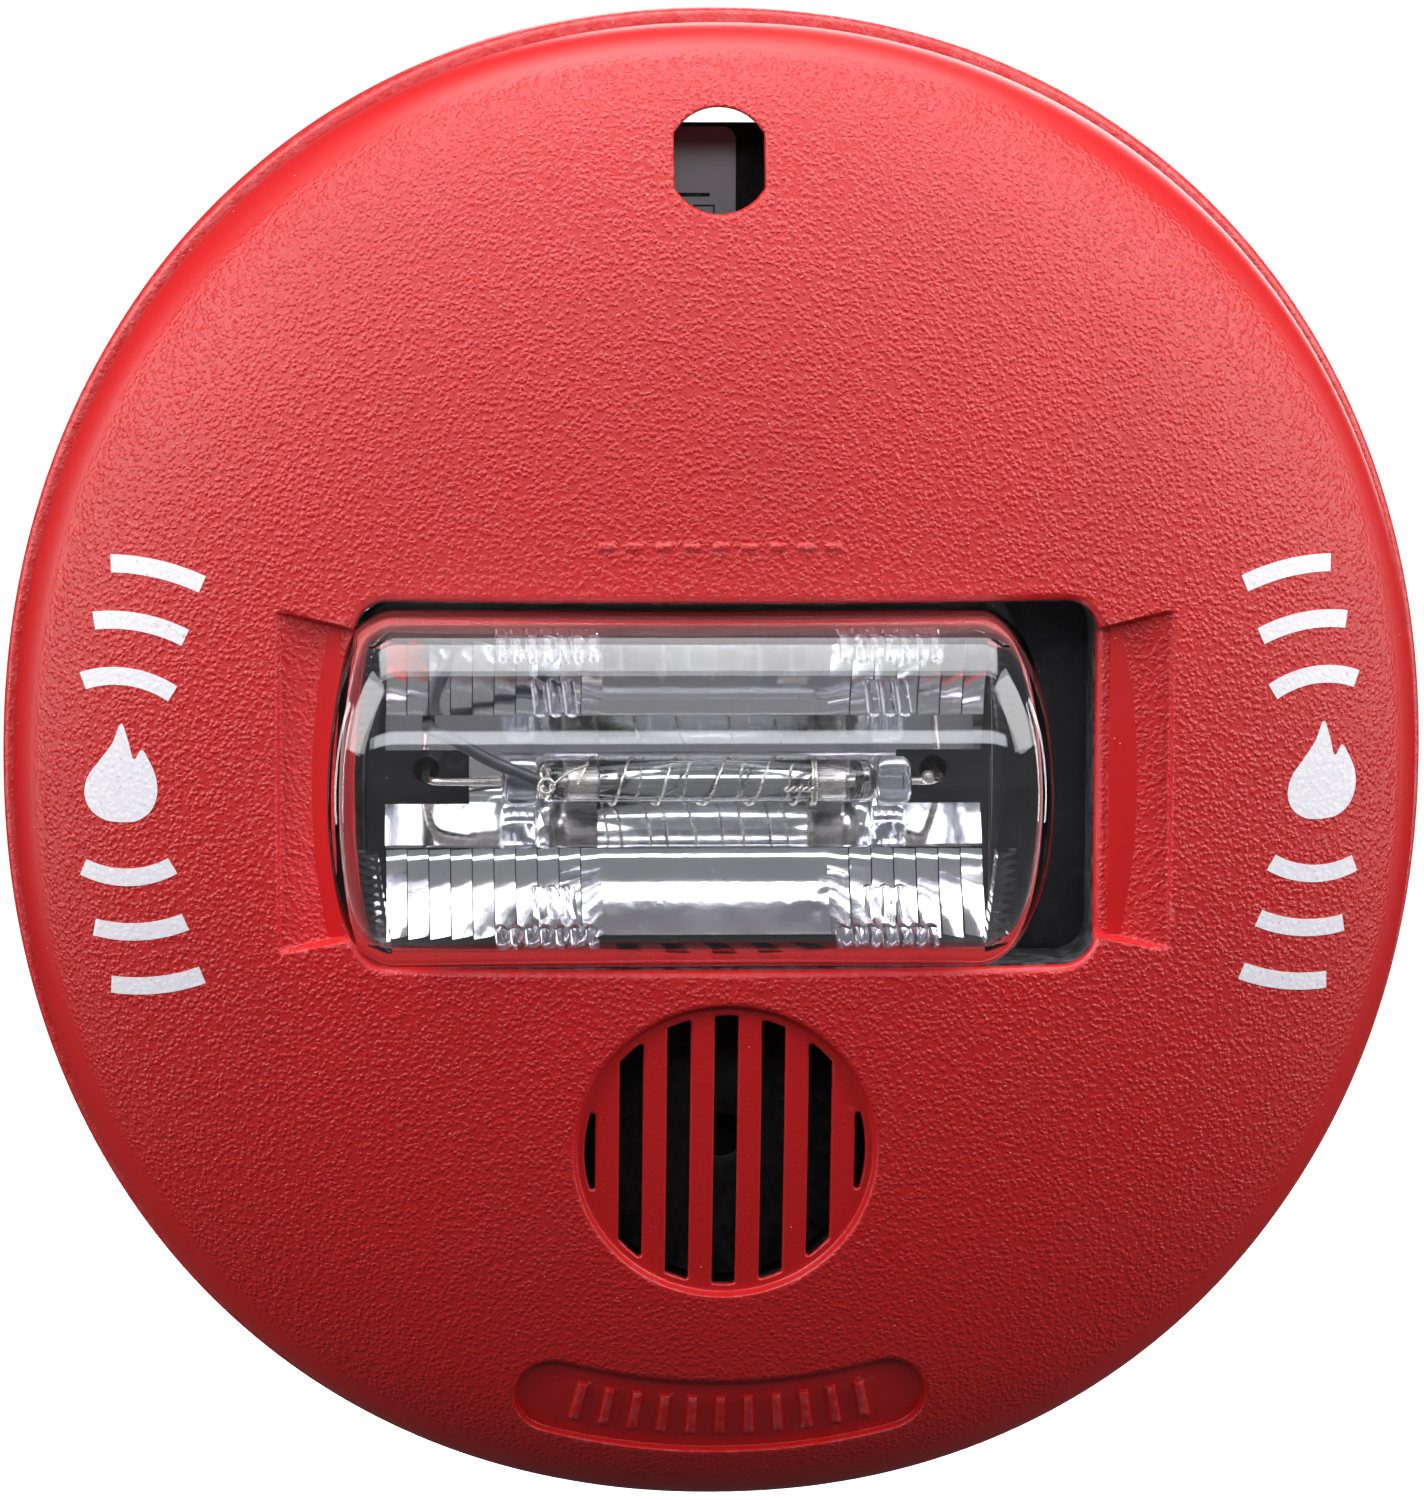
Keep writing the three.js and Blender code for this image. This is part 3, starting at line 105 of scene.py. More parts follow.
@dataclass
class Shell:
    """A mesh under construction: rows of points in the face frame, and faces over them."""

    points: list[Place] = field(default_factory=list)
    faces: list[tuple[int, ...]] = field(default_factory=list)
    grain: list[float] = field(default_factory=list)

    def add(self, points: Sequence[Place], grain: float = 0.0) -> list[int]:
        """Add points with one share of grain.

        Args:
            points: The points to add.
            grain: How grained the surface is there, from 0 to 1.

        Returns:
            The indices of the new points.
        """
        first = len(self.points)
        self.points.extend(tuple(map(float, p)) for p in points)
        self.grain.extend([grain] * len(points))
        return list(range(first, len(self.points)))

    def bridge(self, a: Sequence[int], b: Sequence[int], closed: bool = True) -> None:
        """Join two rows of the same length with quads.

        Args:
            a: The first row of indices.
            b: The second row of indices.
            closed: Whether the rows close on themselves.
        """
        count = len(a)
        for i in range(count if closed else count - 1):
            j = (i + 1) % count
            self.faces.append((a[i], a[j], b[j], b[i]))

    def loft(
        self, rows: Sequence[Sequence[Place]], closed: bool = True, grain: float = 0.0
    ) -> list[list[int]]:
        """Join several rows of points in order.

        Args:
            rows: The rows, all of one length.
            closed: Whether each row closes on itself.
            grain: How grained the surface is.

        Returns:
            The indices of each row.
        """
        made = [self.add(row, grain) for row in rows]
        for a, b in zip(made, made[1:]):
            self.bridge(a, b, closed)
        return made

    def cap(self, row: Sequence[int]) -> None:
        """Close a row with one flat face."""
        self.faces.append(tuple(row))

    def rod(self, rows: Sequence[Sequence[Place]]) -> None:
        """Join closed rows in order and close both ends."""
        made = self.loft(rows)
        self.cap(made[0])
        self.cap(made[-1][::-1])

    def hoop(self, rows: Sequence[Sequence[Place]]) -> None:
        """Join closed rows in order, and the last one to the first."""
        made = self.loft(rows)
        self.bridge(made[-1], made[0])

    def rows_of(self, loops: Sequence[np.ndarray], first: int) -> list[list[int]]:
        """Give the indices of loops whose points were added in order from a first index."""
        ends = np.cumsum([first, *map(len, loops)]).tolist()
        return [list(range(a, b)) for a, b in zip(ends, ends[1:])]

    def merge(self, other: "Shell") -> None:
        """Take in the points and faces of another shell."""
        shift = len(self.points)
        self.points.extend(other.points)
        self.grain.extend(other.grain)
        self.faces.extend(tuple(i + shift for i in face) for face in other.faces)

    def piece(
        self,
        name: str,
        finish: Material,
        body: Body,
        slot: Slot | None,
        stands_for: Sequence[str] = (),
        crease_deg: float = 38.0,
    ) -> Object:
        """Make the Blender object and put it on its body.

        Args:
            name: The piece's name.
            finish: Its material.
            body: The body that it rides on.
            slot: The record's slot, if it has one; not used.
            stands_for: The CAD nodes that it replaces.
            crease_deg: Edges sharper than this stay sharp.

        Returns:
            The finished object.
        """
        mesh = bpy.data.meshes.new(name)
        mesh.from_pydata([tuple(p) for p in stand(self.points)], [], self.faces)
        work = bmesh.new()
        work.from_mesh(mesh)
        share = work.verts.layers.float.new("grain")
        for vert, value in zip(work.verts, self.grain):
            vert[share] = value
        bmesh.ops.remove_doubles(work, verts=work.verts, dist=1e-7)
        bmesh.ops.recalc_face_normals(work, faces=work.faces)
        limit = math.radians(crease_deg)
        for face in work.faces:
            face.smooth = True
        for edge in work.edges:
            edge.smooth = len(edge.link_faces) == 2 and edge.calc_face_angle(0.0) < limit
        work.to_mesh(mesh)
        work.free()
        mesh.materials.append(finish)
        made = bpy.data.objects.new(name, mesh)
        bpy.context.scene.collection.objects.link(made)
        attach(made, body.value)
        if stands_for:
            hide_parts(*stands_for)
        log.info("%s: %d points", name, len(mesh.vertices))
        return made


def ring(x: float, y: float, z: float, radius: float, sides: int) -> list[Place]:
    """Give a circle about the z axis.

    Args:
        x: The middle's x.
        y: The middle's y.
        z: Its height out of the wall.
        radius: Its radius.
        sides: How many points it has.

    Returns:
        The points, in order.
    """
    turns = np.linspace(0, 2 * math.pi, sides, endpoint=False)
    return [(x + radius * math.cos(t), y + radius * math.sin(t), z) for t in turns]


def lathe(profile: Sequence[Pair], x: float, y: float, sides: int = 96) -> Shell:
    """Turn a closed profile about an axis that stands out of the wall.

    Args:
        profile: Points of (radius, z) that run round the section.
        x: The axis's x.
        y: The axis's y.
        sides: How many sides the turning has.

    Returns:
        The closed shell.
    """
    shell = Shell()
    rows = shell.loft([ring(x, y, z, max(radius, 1e-4), sides) for radius, z in profile])
    if profile[0][0] > 1e-3:
        shell.bridge(rows[-1], rows[0])
    return shell


def lathe_along_x(profile: Sequence[Pair], y: float, z: float, sides: int = 48) -> Shell:
    """Turn a profile about an axis that runs along x.

    Args:
        profile: Points of (radius, x).
        y: The axis's y.
        z: The axis's z.
        sides: How many sides the turning has.

    Returns:
        The closed shell.
    """
    shell = Shell()
    turns = np.linspace(0, 2 * math.pi, sides, endpoint=False)
    section = [(max(radius, 1e-4), x) for radius, x in profile]
    rows = shell.loft([[(x, y + r * math.sin(t), z + r * math.cos(t)) for t in turns] for r, x in section])
    if profile[0][0] > 1e-3:
        shell.bridge(rows[-1], rows[0])
    return shell


def smooth_path(points: Sequence[Place], steps: int) -> np.ndarray:
    """Run a centripetal spline through points.

    Args:
        points: The points to pass through.
        steps: How many stretches come out between each two.

    Returns:
        The finer points.
    """
    knots = [np.array(p, float) for p in points]
    knots = [2 * knots[0] - knots[1], *knots, 2 * knots[-1] - knots[-2]]
    line: list[np.ndarray] = []
    for p0, p1, p2, p3 in zip(knots, knots[1:], knots[2:], knots[3:]):
        t0 = 0.0
        t1 = t0 + max(np.linalg.norm(p1 - p0), 1e-6) ** 0.5
        t2 = t1 + max(np.linalg.norm(p2 - p1), 1e-6) ** 0.5
        t3 = t2 + max(np.linalg.norm(p3 - p2), 1e-6) ** 0.5
        for t in np.linspace(t1, t2, steps, endpoint=False):
            a1 = (t1 - t) / (t1 - t0) * p0 + (t - t0) / (t1 - t0) * p1
            a2 = (t2 - t) / (t2 - t1) * p1 + (t - t1) / (t2 - t1) * p2
            a3 = (t3 - t) / (t3 - t2) * p2 + (t - t2) / (t3 - t2) * p3
            b1 = (t2 - t) / (t2 - t0) * a1 + (t - t0) / (t2 - t0) * a2
            b2 = (t3 - t) / (t3 - t1) * a2 + (t - t1) / (t3 - t1) * a3
            line.append((t2 - t) / (t2 - t1) * b1 + (t - t1) / (t2 - t1) * b2)
    line.append(knots[-2])
    return np.array(line)


def wire(path: np.ndarray, radius: float | Sequence[float], sides: int = 14) -> Shell:
    """Sweep a round section along a path.

    Args:
        path: The centreline's points.
        radius: The wire's radius, or one for each point.
        sides: How many sides the section has.

    Returns:
        The closed shell.
    """
    path = np.asarray(path, float)
    radii = np.broadcast_to(np.asarray(radius, float), (len(path),))
    along = np.gradient(path, axis=0)
    along /= np.linalg.norm(along, axis=1)[:, None]
    up = np.array([0.0, 0.0, 1.0]) if abs(along[0][2]) < 0.9 else np.array([0.0, 1.0, 0.0])
    shell = Shell()
    rows = []
    for centre, direction, size in zip(path, along, radii):
        up = up - direction * (up @ direction)
        up /= np.linalg.norm(up)
        side = np.cross(direction, up)
        turns = np.linspace(0, 2 * math.pi, sides, endpoint=False)
        rows.append([tuple(centre + size * (math.cos(t) * up + math.sin(t) * side)) for t in turns])
    shell.rod(rows)
    return shell


# ---------------------------------------------------------------- outlines on the face


@dataclass(frozen=True)
class Oval:
    """The outline of the whole object: a slightly squared ellipse."""

    half_width: float = 84.8
    half_height: float = 89.5
    power: float = 2.11

    @property
    def radius(self) -> float:
        """The mean of the two half sizes."""
        return (self.half_width + self.half_height) / 2

    def scale(self, angle: np.ndarray) -> np.ndarray:
        """Give the outline's distance from the middle as a share of the mean radius."""
        across = np.abs(np.cos(angle) / self.half_width) ** self.power
        up = np.abs(np.sin(angle) / self.half_height) ** self.power
        return (across + up) ** (-1 / self.power) / self.radius

    def share(self, x: np.ndarray, y: np.ndarray, radius: float | None = None) -> np.ndarray:
        """Give how far out points are, as a share of the way to an outline of some mean radius."""
        return np.hypot(x, y) / (radius or self.radius) / self.scale(np.arctan2(y, x))

    def row(self, radius: float, z: float, sides: int = 320) -> list[Place]:
        """Give the outline of a mean radius at a height.

        Args:
            radius: The mean radius.
            z: The height out of the wall.
            sides: How many points it has.

        Returns:
            The points, in order.
        """
        turns = np.linspace(0, 2 * math.pi, sides, endpoint=False)
        reach = radius * self.scale(turns)
        return [(r * math.cos(t), r * math.sin(t), z) for r, t in zip(reach, turns)]


@dataclass
class Outline:
    """A closed outline on the face with its outward normals, so that it can be drawn larger or smaller."""

    points: np.ndarray
    normals: np.ndarray

    @classmethod
    def rounded(cls, corners: Sequence[Pair], radius: float, spacing: float = 0.7) -> "Outline":
        """Round a convex outline outward from its inner corners.

        Args:
            corners: The corners' centres, counterclockwise.
            radius: How far the outline stands out from them.
            spacing: The longest stretch between two points.

        Returns:
            The outline.
        """
        corners = [np.array(c, float) for c in corners]
        count = len(corners)
        normals = []
        for i in range(count):
            edge = corners[(i + 1) % count] - corners[i]
            edge /= np.linalg.norm(edge)
            normals.append(np.array([edge[1], -edge[0]]))
        points, outs = [], []
        for i in range(count):
            before, after = normals[i - 1], normals[i]
            turn = math.atan2(before[0] * after[1] - before[1] * after[0], float(before @ after))
            steps = max(1, int(math.ceil(abs(turn) / math.radians(11))))
            start = math.atan2(before[1], before[0])
            for k in range(steps + 1 if abs(turn) > 1e-3 else 1):
                angle = start + turn * k / steps
                out = np.array([math.cos(angle), math.sin(angle)])
                points.append(corners[i] + radius * out)
                outs.append(out)
            length = np.linalg.norm(corners[(i + 1) % count] - corners[i])
            stretches = int(length // spacing)
            for k in range(1, stretches + 1):
                points.append(
                    corners[i] + (
                        corners[(i + 1) % count] - corners[i]
                    ) * k / (stretches + 1) + radius * after
                )
                outs.append(after)
        return cls(np.array(points), np.array(outs))

    @classmethod
    def rectangle(
        cls, x: float, y: float, width: float, height: float, corner: float, spacing: float = 0.7
    ) -> "Outline":
        """Give a rectangle with round corners.

        Args:
            x: The middle's x.
            y: The middle's y.
            width: Its width.
            height: Its height.
            corner: The corners' radius.
            spacing: The longest stretch between two points.

        Returns:
            The outline.
        """
        w, h = width / 2 - corner, height / 2 - corner
        return cls.rounded([(x - w, y - h), (x + w, y - h), (x + w, y + h), (x - w, y + h)], corner, spacing)

    @classmethod
    def circle(cls, x: float, y: float, radius: float, sides: int = 96) -> "Outline":
        """Give a circle.

        Args:
            x: The middle's x.
            y: The middle's y.
            radius: Its radius.
            sides: How many points it has.

        Returns:
            The outline.
        """
        turns = np.linspace(0, 2 * math.pi, sides, endpoint=False)
        outs = np.column_stack((np.cos(turns), np.sin(turns)))
        return cls(np.array([x, y]) + radius * outs, outs)

    @classmethod
    def clipped_circle(
        cls, x: float, y: float, radius: float, low: float, high: float, corner: float
    ) -> "Outline":
        """Give the strip of a circle between two upright lines, with small round corners.

        Args:
            x: The circle's middle.
            y: The circle's middle.
            radius: The circle's radius.
            low: The left line's x.
            high: The right line's x.
            corner: The corners' radius.

        Returns:
            The outline.
        """
        inner = radius - corner
        low, high = max(low, x - radius), min(high, x + radius)
        across = np.linspace(high - corner, low + corner, 13)
        top = [(float(a), y + math.sqrt(max(inner**2 - (a - x) ** 2, 0.01))) for a in across]
        bottom = [(float(a), y - math.sqrt(max(inner**2 - (a - x) ** 2, 0.01))) for a in across[::-1]]
        return cls.rounded([*top, *bottom], corner, 0.6)

    @classmethod
    def bent_band(
        cls, radius: float, width: float, middle_deg: float, half_deg: float, spacing: float = 0.5
    ) -> "Outline":
        """Give a band with round ends that is bent about the origin.

        Args:
            radius: The middle line's radius.
            width: The band's width.
            middle_deg: The direction of its middle.
            half_deg: Half its angle between the ends' centres.
            spacing: The longest stretch between two points.

        Returns:
            The outline.
        """
        start, end = math.radians(middle_deg - half_deg), math.radians(middle_deg + half_deg)
        half = width / 2
        points, outs = [], []
        count = max(3, int((end - start) * radius / spacing))
        for t in np.linspace(start, end, count):
            out = np.array([math.cos(t), math.sin(t)])
            points.append((radius + half) * out)
            outs.append(out)
        for k in np.linspace(0, math.pi, 18)[1:-1]:
            out = np.array([math.cos(end + k), math.sin(end + k)])
            points.append(radius * np.array([math.cos(end), math.sin(end)]) + half * out)
            outs.append(out)
        for t in np.linspace(end, start, count):
            out = -np.array([math.cos(t), math.sin(t)])
            points.append((radius + half * -1) * -out)
            outs.append(out)
        for k in np.linspace(math.pi, 2 * math.pi, 18)[1:-1]:
            out = np.array([math.cos(start + k), math.sin(start + k)])
            points.append(radius * np.array([math.cos(start), math.sin(start)]) + half * out)
            outs.append(out)
        return cls(np.array(points), np.array(outs))

    def at(self, distance: float) -> np.ndarray:
        """Give the outline moved outward by a distance."""
        return self.points + self.normals * distance

    def distance(self, x: np.ndarray, y: np.ndarray, reach: float = 8.0) -> np.ndarray:
        """Measure how far points are outside the outline.

        Args:
            x: The points' x.
            y: The points' y.
            reach: Points further than this are only reported as that far.

        Returns:
            The distances, below zero inside.
        """
        low, high = self.points.min(0) - reach, self.points.max(0) + reach
        result = np.full(len(x), reach)
        near = np.flatnonzero((x > low[0]) & (x < high[0]) & (y > low[1]) & (y < high[1]))
        starts, ends = self.points, np.roll(self.points, -1, axis=0)
        edges = ends - starts
        squared = (edges**2).sum(1) + 1e-12
        for part in np.array_split(near, max(1, len(near) // 4000)):
            spots = np.column_stack((x[part], y[part]))
            offset = spots[:, None, :] - starts[None]
            along = np.clip((offset * edges[None]).sum(2) / squared, 0, 1)
            gap = np.linalg.norm(offset - along[..., None] * edges[None], axis=2).min(1)
            rises = (starts[None, :, 1] <= spots[:, None, 1]) != (ends[None, :, 1] <= spots[:, None, 1])
            slope = edges[:, 0] / np.where(edges[:, 1] == 0, 1e-12, edges[:, 1])
            crossing = starts[None, :, 0] + (spots[:, None, 1] - starts[None, :, 1]) * slope[None]
            inside = (rises & (crossing > spots[:, None, 0])).sum(1) % 2 == 1
            result[part] = np.where(inside, -gap, gap)
        return result


def grid(low: Pair, high: Pair, spacing: float) -> np.ndarray:
    """Fill a rectangle with points in staggered rows.

    Args:
        low: Its lowest corner.
        high: Its highest corner.
        spacing: The distance between neighbours.

    Returns:
        The points.
    """
    rows = []
    pitch = spacing * math.sqrt(3) / 2
    for k, y in enumerate(np.arange(low[1], high[1], pitch)):
        xs = np.arange(low[0] + (k % 2) * spacing / 2, high[0], spacing)
        rows.append(np.column_stack((xs, np.full(len(xs), y))))
    return np.vstack(rows)


def triangulate(loose: np.ndarray, loops: Sequence[np.ndarray]) -> tuple[np.ndarray, list[tuple[int, ...]]]:
    """Triangulate points and closed loops on the face.

    Args:
        loose: Points that belong to no loop.
        loops: Closed rows of points whose edges are kept.

    Returns:
        The points, which start with the loops' own, and the triangles.
    """
    points = [Vector(p) for loop in loops for p in loop]
    edges, first = [], 0
    for loop in loops:
        count = len(loop)
        edges.extend((first + i, first + (i + 1) % count) for i in range(count))
        first += count
    points.extend(Vector(p) for p in loose)
    verts, _, faces, *_ = delaunay_2d_cdt(points, edges, [], 0, 1e-5, False)
    return np.array([tuple(v) for v in verts]), [tuple(f) for f in faces]


def ease(share: np.ndarray) -> np.ndarray:
    """Go from 0 to 1 with a round start and end."""
    share = np.clip(share, 0, 1)
    return share * share * (3 - 2 * share)


# ---------------------------------------------------------------- shader kit


class Graph:
    """A short way to place nodes and join them in a material or a group."""

    def __init__(self, tree: NodeTree) -> None:
        """Take the tree that the nodes go in."""
        self.tree = tree
        self.tree.nodes.clear()

    def node(self, kind: str, **settings: object) -> Node:
        """Place a node with its settings.

        Args:
            kind: The node's type, without the ShaderNode in front.
            **settings: Its properties.

        Returns:
            The node.
        """
        made = self.tree.nodes.new("ShaderNode" + kind if not kind.startswith("NodeGroup") else kind)
        for name, value in settings.items():
            setattr(made, name, value)
        return made

    def put(self, socket: Socket, value: object) -> None:
        """Join a socket to another, or give it a plain value."""
        if isinstance(value, Socket):
            self.tree.links.new(value, socket)
        elif isinstance(value, tuple) and len(value) == 3 and socket.type == "RGBA":
            socket.default_value = (*value, 1.0)
        else:
            socket.default_value = value

    def maths(self, operation: str, a: object, b: object = 0.0, clamp: bool = False) -> Socket:
        """Work out one sum.

        Args:
            operation: The sum, such as MULTIPLY.
            a: The first value.
            b: The second value.
            clamp: Whether the result stays between 0 and 1.

        Returns:
            The result's socket.
        """
        made = self.node("Math", operation=operation, use_clamp=clamp)
        self.put(made.inputs[0], a)
        self.put(made.inputs[1], b)
        return made.outputs[0]

    def times(self, a: object, b: object, clamp: bool = False) -> Socket:
        """Multiply two values."""
        return self.maths("MULTIPLY", a, b, clamp)

    def plus(self, a: object, b: object, clamp: bool = False) -> Socket:
        """Add two values."""
        return self.maths("ADD", a, b, clamp)

    def mix(self, share: object, a: object, b: object) -> Socket:
        """Mix two colours.

        Args:
            share: How much of the second colour there is.
            a: The first colour.
            b: The second colour.

        Returns:
            The mixed colour's socket.
        """
        made = self.node("Mix", data_type="RGBA")
        self.put(made.inputs["Factor"], share)
        self.put(made.inputs[6], a)
        self.put(made.inputs[7], b)
        return made.outputs[2]

    def spread(
        self, value: object, low: float, high: float, to_low: float = 0.0, to_high: float = 1.0
    ) -> Socket:
        """Stretch a value from one range to another, without leaving it.

        Args:
            value: The value.
            low: The range's low end.
            high: The range's high end.
            to_low: What the low end becomes.
            to_high: What the high end becomes.

        Returns:
            The stretched value's socket.
        """
        made = self.node("MapRange", clamp=True)
        for index, item in enumerate((value, low, high, to_low, to_high)):
            self.put(made.inputs[index], item)
        return made.outputs[0]

    def noise(self, place: object, scale: object, detail: float = 3.0, roughness: float = 0.5) -> Socket:
        """Give a cloudy value.

        Args:
            place: Where it is taken.
            scale: How many clouds there are in a metre.
            detail: How many finer layers it has.
            roughness: How strong the finer layers are.

        Returns:
            The value's socket.
        """
        made = self.node("TexNoise")
        self.put(made.inputs["Vector"], place)
        self.put(made.inputs["Scale"], scale)
        made.inputs["Detail"].default_value = detail
        made.inputs["Roughness"].default_value = roughness
        return made.outputs[0]

    def effect(self, group: NodeTree, **values: object) -> Node:
        """Place a shared effect with its own values.

        Args:
            group: The effect's node group.
            **values: Its inputs, with _ for a space in a name.

        Returns:
            The group's node.
        """
        made = self.tree.nodes.new("ShaderNodeGroup")
        made.node_tree = group
        for name, value in values.items():
            self.put(made.inputs[name.replace("_", " ")], value)
        return made

    def drift(self, place: Socket, patches: float) -> Socket:
        """Place the slow change over a moulding, and give its value."""
        return self.effect(EFFECTS.drift, Place=place, Patches=patches).outputs[0]

    def dust(self, place: Socket, specks: float, amount: float) -> Socket:
        """Place the dust, and give its mask."""
        return self.effect(EFFECTS.dust, Place=place, Specks=specks, Amount=amount).outputs[0]

    def wear(self, place: Socket, amount: float) -> Socket:
        """Place the rubbed edges, and give their mask."""
        return self.effect(EFFECTS.wear, Place=place, Amount=amount).outputs[0]


class Effects:
    """The effects that several finishes share, each a node group that is built once."""

    def __init__(self) -> None:
        """Build every group."""
        self.grain = self._grain()
        self.dust = self._dust()
        self.drift = self._drift()
        self.wear = self._wear()
        self.brushing = self._brushing()

    @staticmethod
    def _group(name: str, inputs: dict[str, object], outputs: Sequence[str]) -> tuple[Graph, object, object]:
        """Start a group with its sockets.

        Args:
            name: The group's name.
            inputs: Names and starting values, None for a place.
            outputs: The outputs' names.

        Returns:
            The graph, its input node and its output node.
        """
        tree = bpy.data.node_groups.new(name, "ShaderNodeTree")
        graph = Graph(tree)
        for title, value in inputs.items():
            kind = "NodeSocketVector" if value is None else "NodeSocketFloat"
            made = tree.interface.new_socket(title, in_out="INPUT", socket_type=kind)
            if value is not None:
                made.default_value = value
        for title in outputs:
            tree.interface.new_socket(title, in_out="OUTPUT", socket_type="NodeSocketFloat")
        return graph, graph.node("NodeGroupInput"), graph.node("NodeGroupOutput")

    def _grain(self) -> NodeTree:
        """Build the leathery grain of a spark-textured mould: round hills with creases between them."""
        graph, given, out = self._group(
            "mould_grain", {"Place": None, "Cells": 1500.0, "Mask": 1.0}, ("Height", "Crease")
        )
        warp = graph.node("TexNoise")
        graph.put(warp.inputs["Vector"], given.outputs["Place"])
        graph.put(warp.inputs["Scale"], given.outputs["Cells"])
        shift = graph.node("VectorMath", operation="SCALE")
        graph.put(shift.inputs[0], warp.outputs["Color"])
        shift.inputs["Scale"].default_value = 0.0006
        moved = graph.node("VectorMath", operation="ADD")
        graph.put(moved.inputs[0], given.outputs["Place"])
        graph.put(moved.inputs[1], shift.outputs[0])
        cells = graph.node("TexVoronoi", feature="SMOOTH_F1")
        cells.inputs["Smoothness"].default_value = 0.35
        graph.put(cells.inputs["Vector"], moved.outputs[0])
        graph.put(cells.inputs["Scale"], given.outputs["Cells"])
        hills = graph.spread(cells.outputs["Distance"], 0.12, 0.62, 1.0, 0.0)
        fine = graph.noise(given.outputs["Place"], graph.times(given.outputs["Cells"], 2.3), 2.0, 0.6)
        broad = graph.noise(given.outputs["Place"], graph.times(given.outputs["Cells"], 0.42), 2.0, 0.5)
        height = graph.plus(graph.times(hills, 0.6), graph.times(fine, 0.3))
        height = graph.plus(height, graph.times(broad, 0.3))
        graph.put(out.inputs["Height"], graph.times(height, given.outputs["Mask"]))
        crease = graph.spread(hills, 0.1, 0.5, 1.0, 0.0)
        graph.put(out.inputs["Crease"], graph.times(crease, given.outputs["Mask"]))
        return graph.tree

    def _dust(self) -> NodeTree:
        """Build sparse pale specks, more of them where the broad noise is high."""
        graph, given, out = self._group("dust", {"Place": None, "Specks": 900.0, "Amount": 0.5}, ("Mask",))
        cells = graph.node("TexVoronoi")
        graph.put(cells.inputs["Vector"], given.outputs["Place"])
        graph.put(cells.inputs["Scale"], given.outputs["Specks"])
        dot = graph.spread(cells.outputs["Distance"], 0.05, 0.16, 1.0, 0.0)
        pick = graph.node("SeparateColor")
        graph.put(pick.inputs[0], cells.outputs["Color"])
        broad = graph.noise(given.outputs["Place"], 32.0, 2.0, 0.5)
        thick = graph.spread(broad, 0.5, 0.72, 0.012, 0.06)
        bar = graph.maths("SUBTRACT", 1.0, graph.times(thick, given.outputs["Amount"]))
        chosen = graph.maths("GREATER_THAN", pick.outputs[0], bar)
        graph.put(out.inputs["Mask"], graph.times(dot, chosen))
        return graph.tree

    def _drift(self) -> NodeTree:
        """Build the slow change of a colour or a gloss over a moulding."""
        graph, given, out = self._group("drift", {"Place": None, "Patches": 40.0}, ("Value",))
        graph.put(
            out.inputs["Value"],
            graph.spread(graph.noise(given.outputs["Place"], given.outputs["Patches"], 4.0, 0.55), 0.3, 0.7),
        )
        return graph.tree

    def _wear(self) -> NodeTree:
        """Build the rubbed look of outer edges, broken up by noise."""
        graph, given, out = self._group("edge_wear", {"Place": None, "Amount": 0.5}, ("Mask",))
        shape = graph.node("NewGeometry")
        edge = graph.spread(shape.outputs["Pointiness"], 0.515, 0.6)
        broken = graph.spread(graph.noise(given.outputs["Place"], 700.0, 4.0, 0.6), 0.42, 0.62)
        rubbed = graph.times(edge, broken)
        graph.put(out.inputs["Mask"], graph.times(rubbed, given.outputs["Amount"], clamp=True))
        return graph.tree

    def _brushing(self) -> NodeTree:
        """Build the fine parallel lines of drawn or brushed metal."""
        graph, given, out = self._group("brushing", {"Place": None, "Lines": 4000.0}, ("Value",))
        stretch = graph.node("VectorMath", operation="MULTIPLY")
        graph.put(stretch.inputs[0], given.outputs["Place"])
        stretch.inputs[1].default_value = (0.06, 1.0, 1.0)
        graph.put(out.inputs["Value"], graph.noise(stretch.outputs[0], given.outputs["Lines"], 3.0, 0.6))
        return graph.tree


EFFECTS = Effects()


def begin(name: str) -> tuple[Material, Graph, Node, Socket]:
    """Start a material.

    Args:
        name: The material's name.

    Returns:
        The material, its graph, its main shader and its place on the object.
    """
    material = bpy.data.materials.new(name)
    material.use_nodes = True
    graph = Graph(material.node_tree)
    shader = graph.node("BsdfPrincipled")
    graph.put(graph.node("OutputMaterial").inputs[0], shader.outputs[0])
    return material, graph, shader, graph.node("TexCoord").outputs["Object"]


def bump(graph: Graph, height: object, depth_mm: float, strength: float = 1.0) -> Socket:
    """Turn a height from 0 to 1 into a normal.

    Args:
        graph: The material's graph.
        height: The height.
        depth_mm: How deep it is, in millimetres.
        strength: How much of it shows.

    Returns:
        The normal's socket.
    """
    made = graph.node("Bump")
    made.inputs["Strength"].default_value = strength
    made.inputs["Distance"].default_value = depth_mm * MILLIMETRE
    graph.put(made.inputs["Height"], height)
    return made.outputs[0]


# ---------------------------------------------------------------- finishes


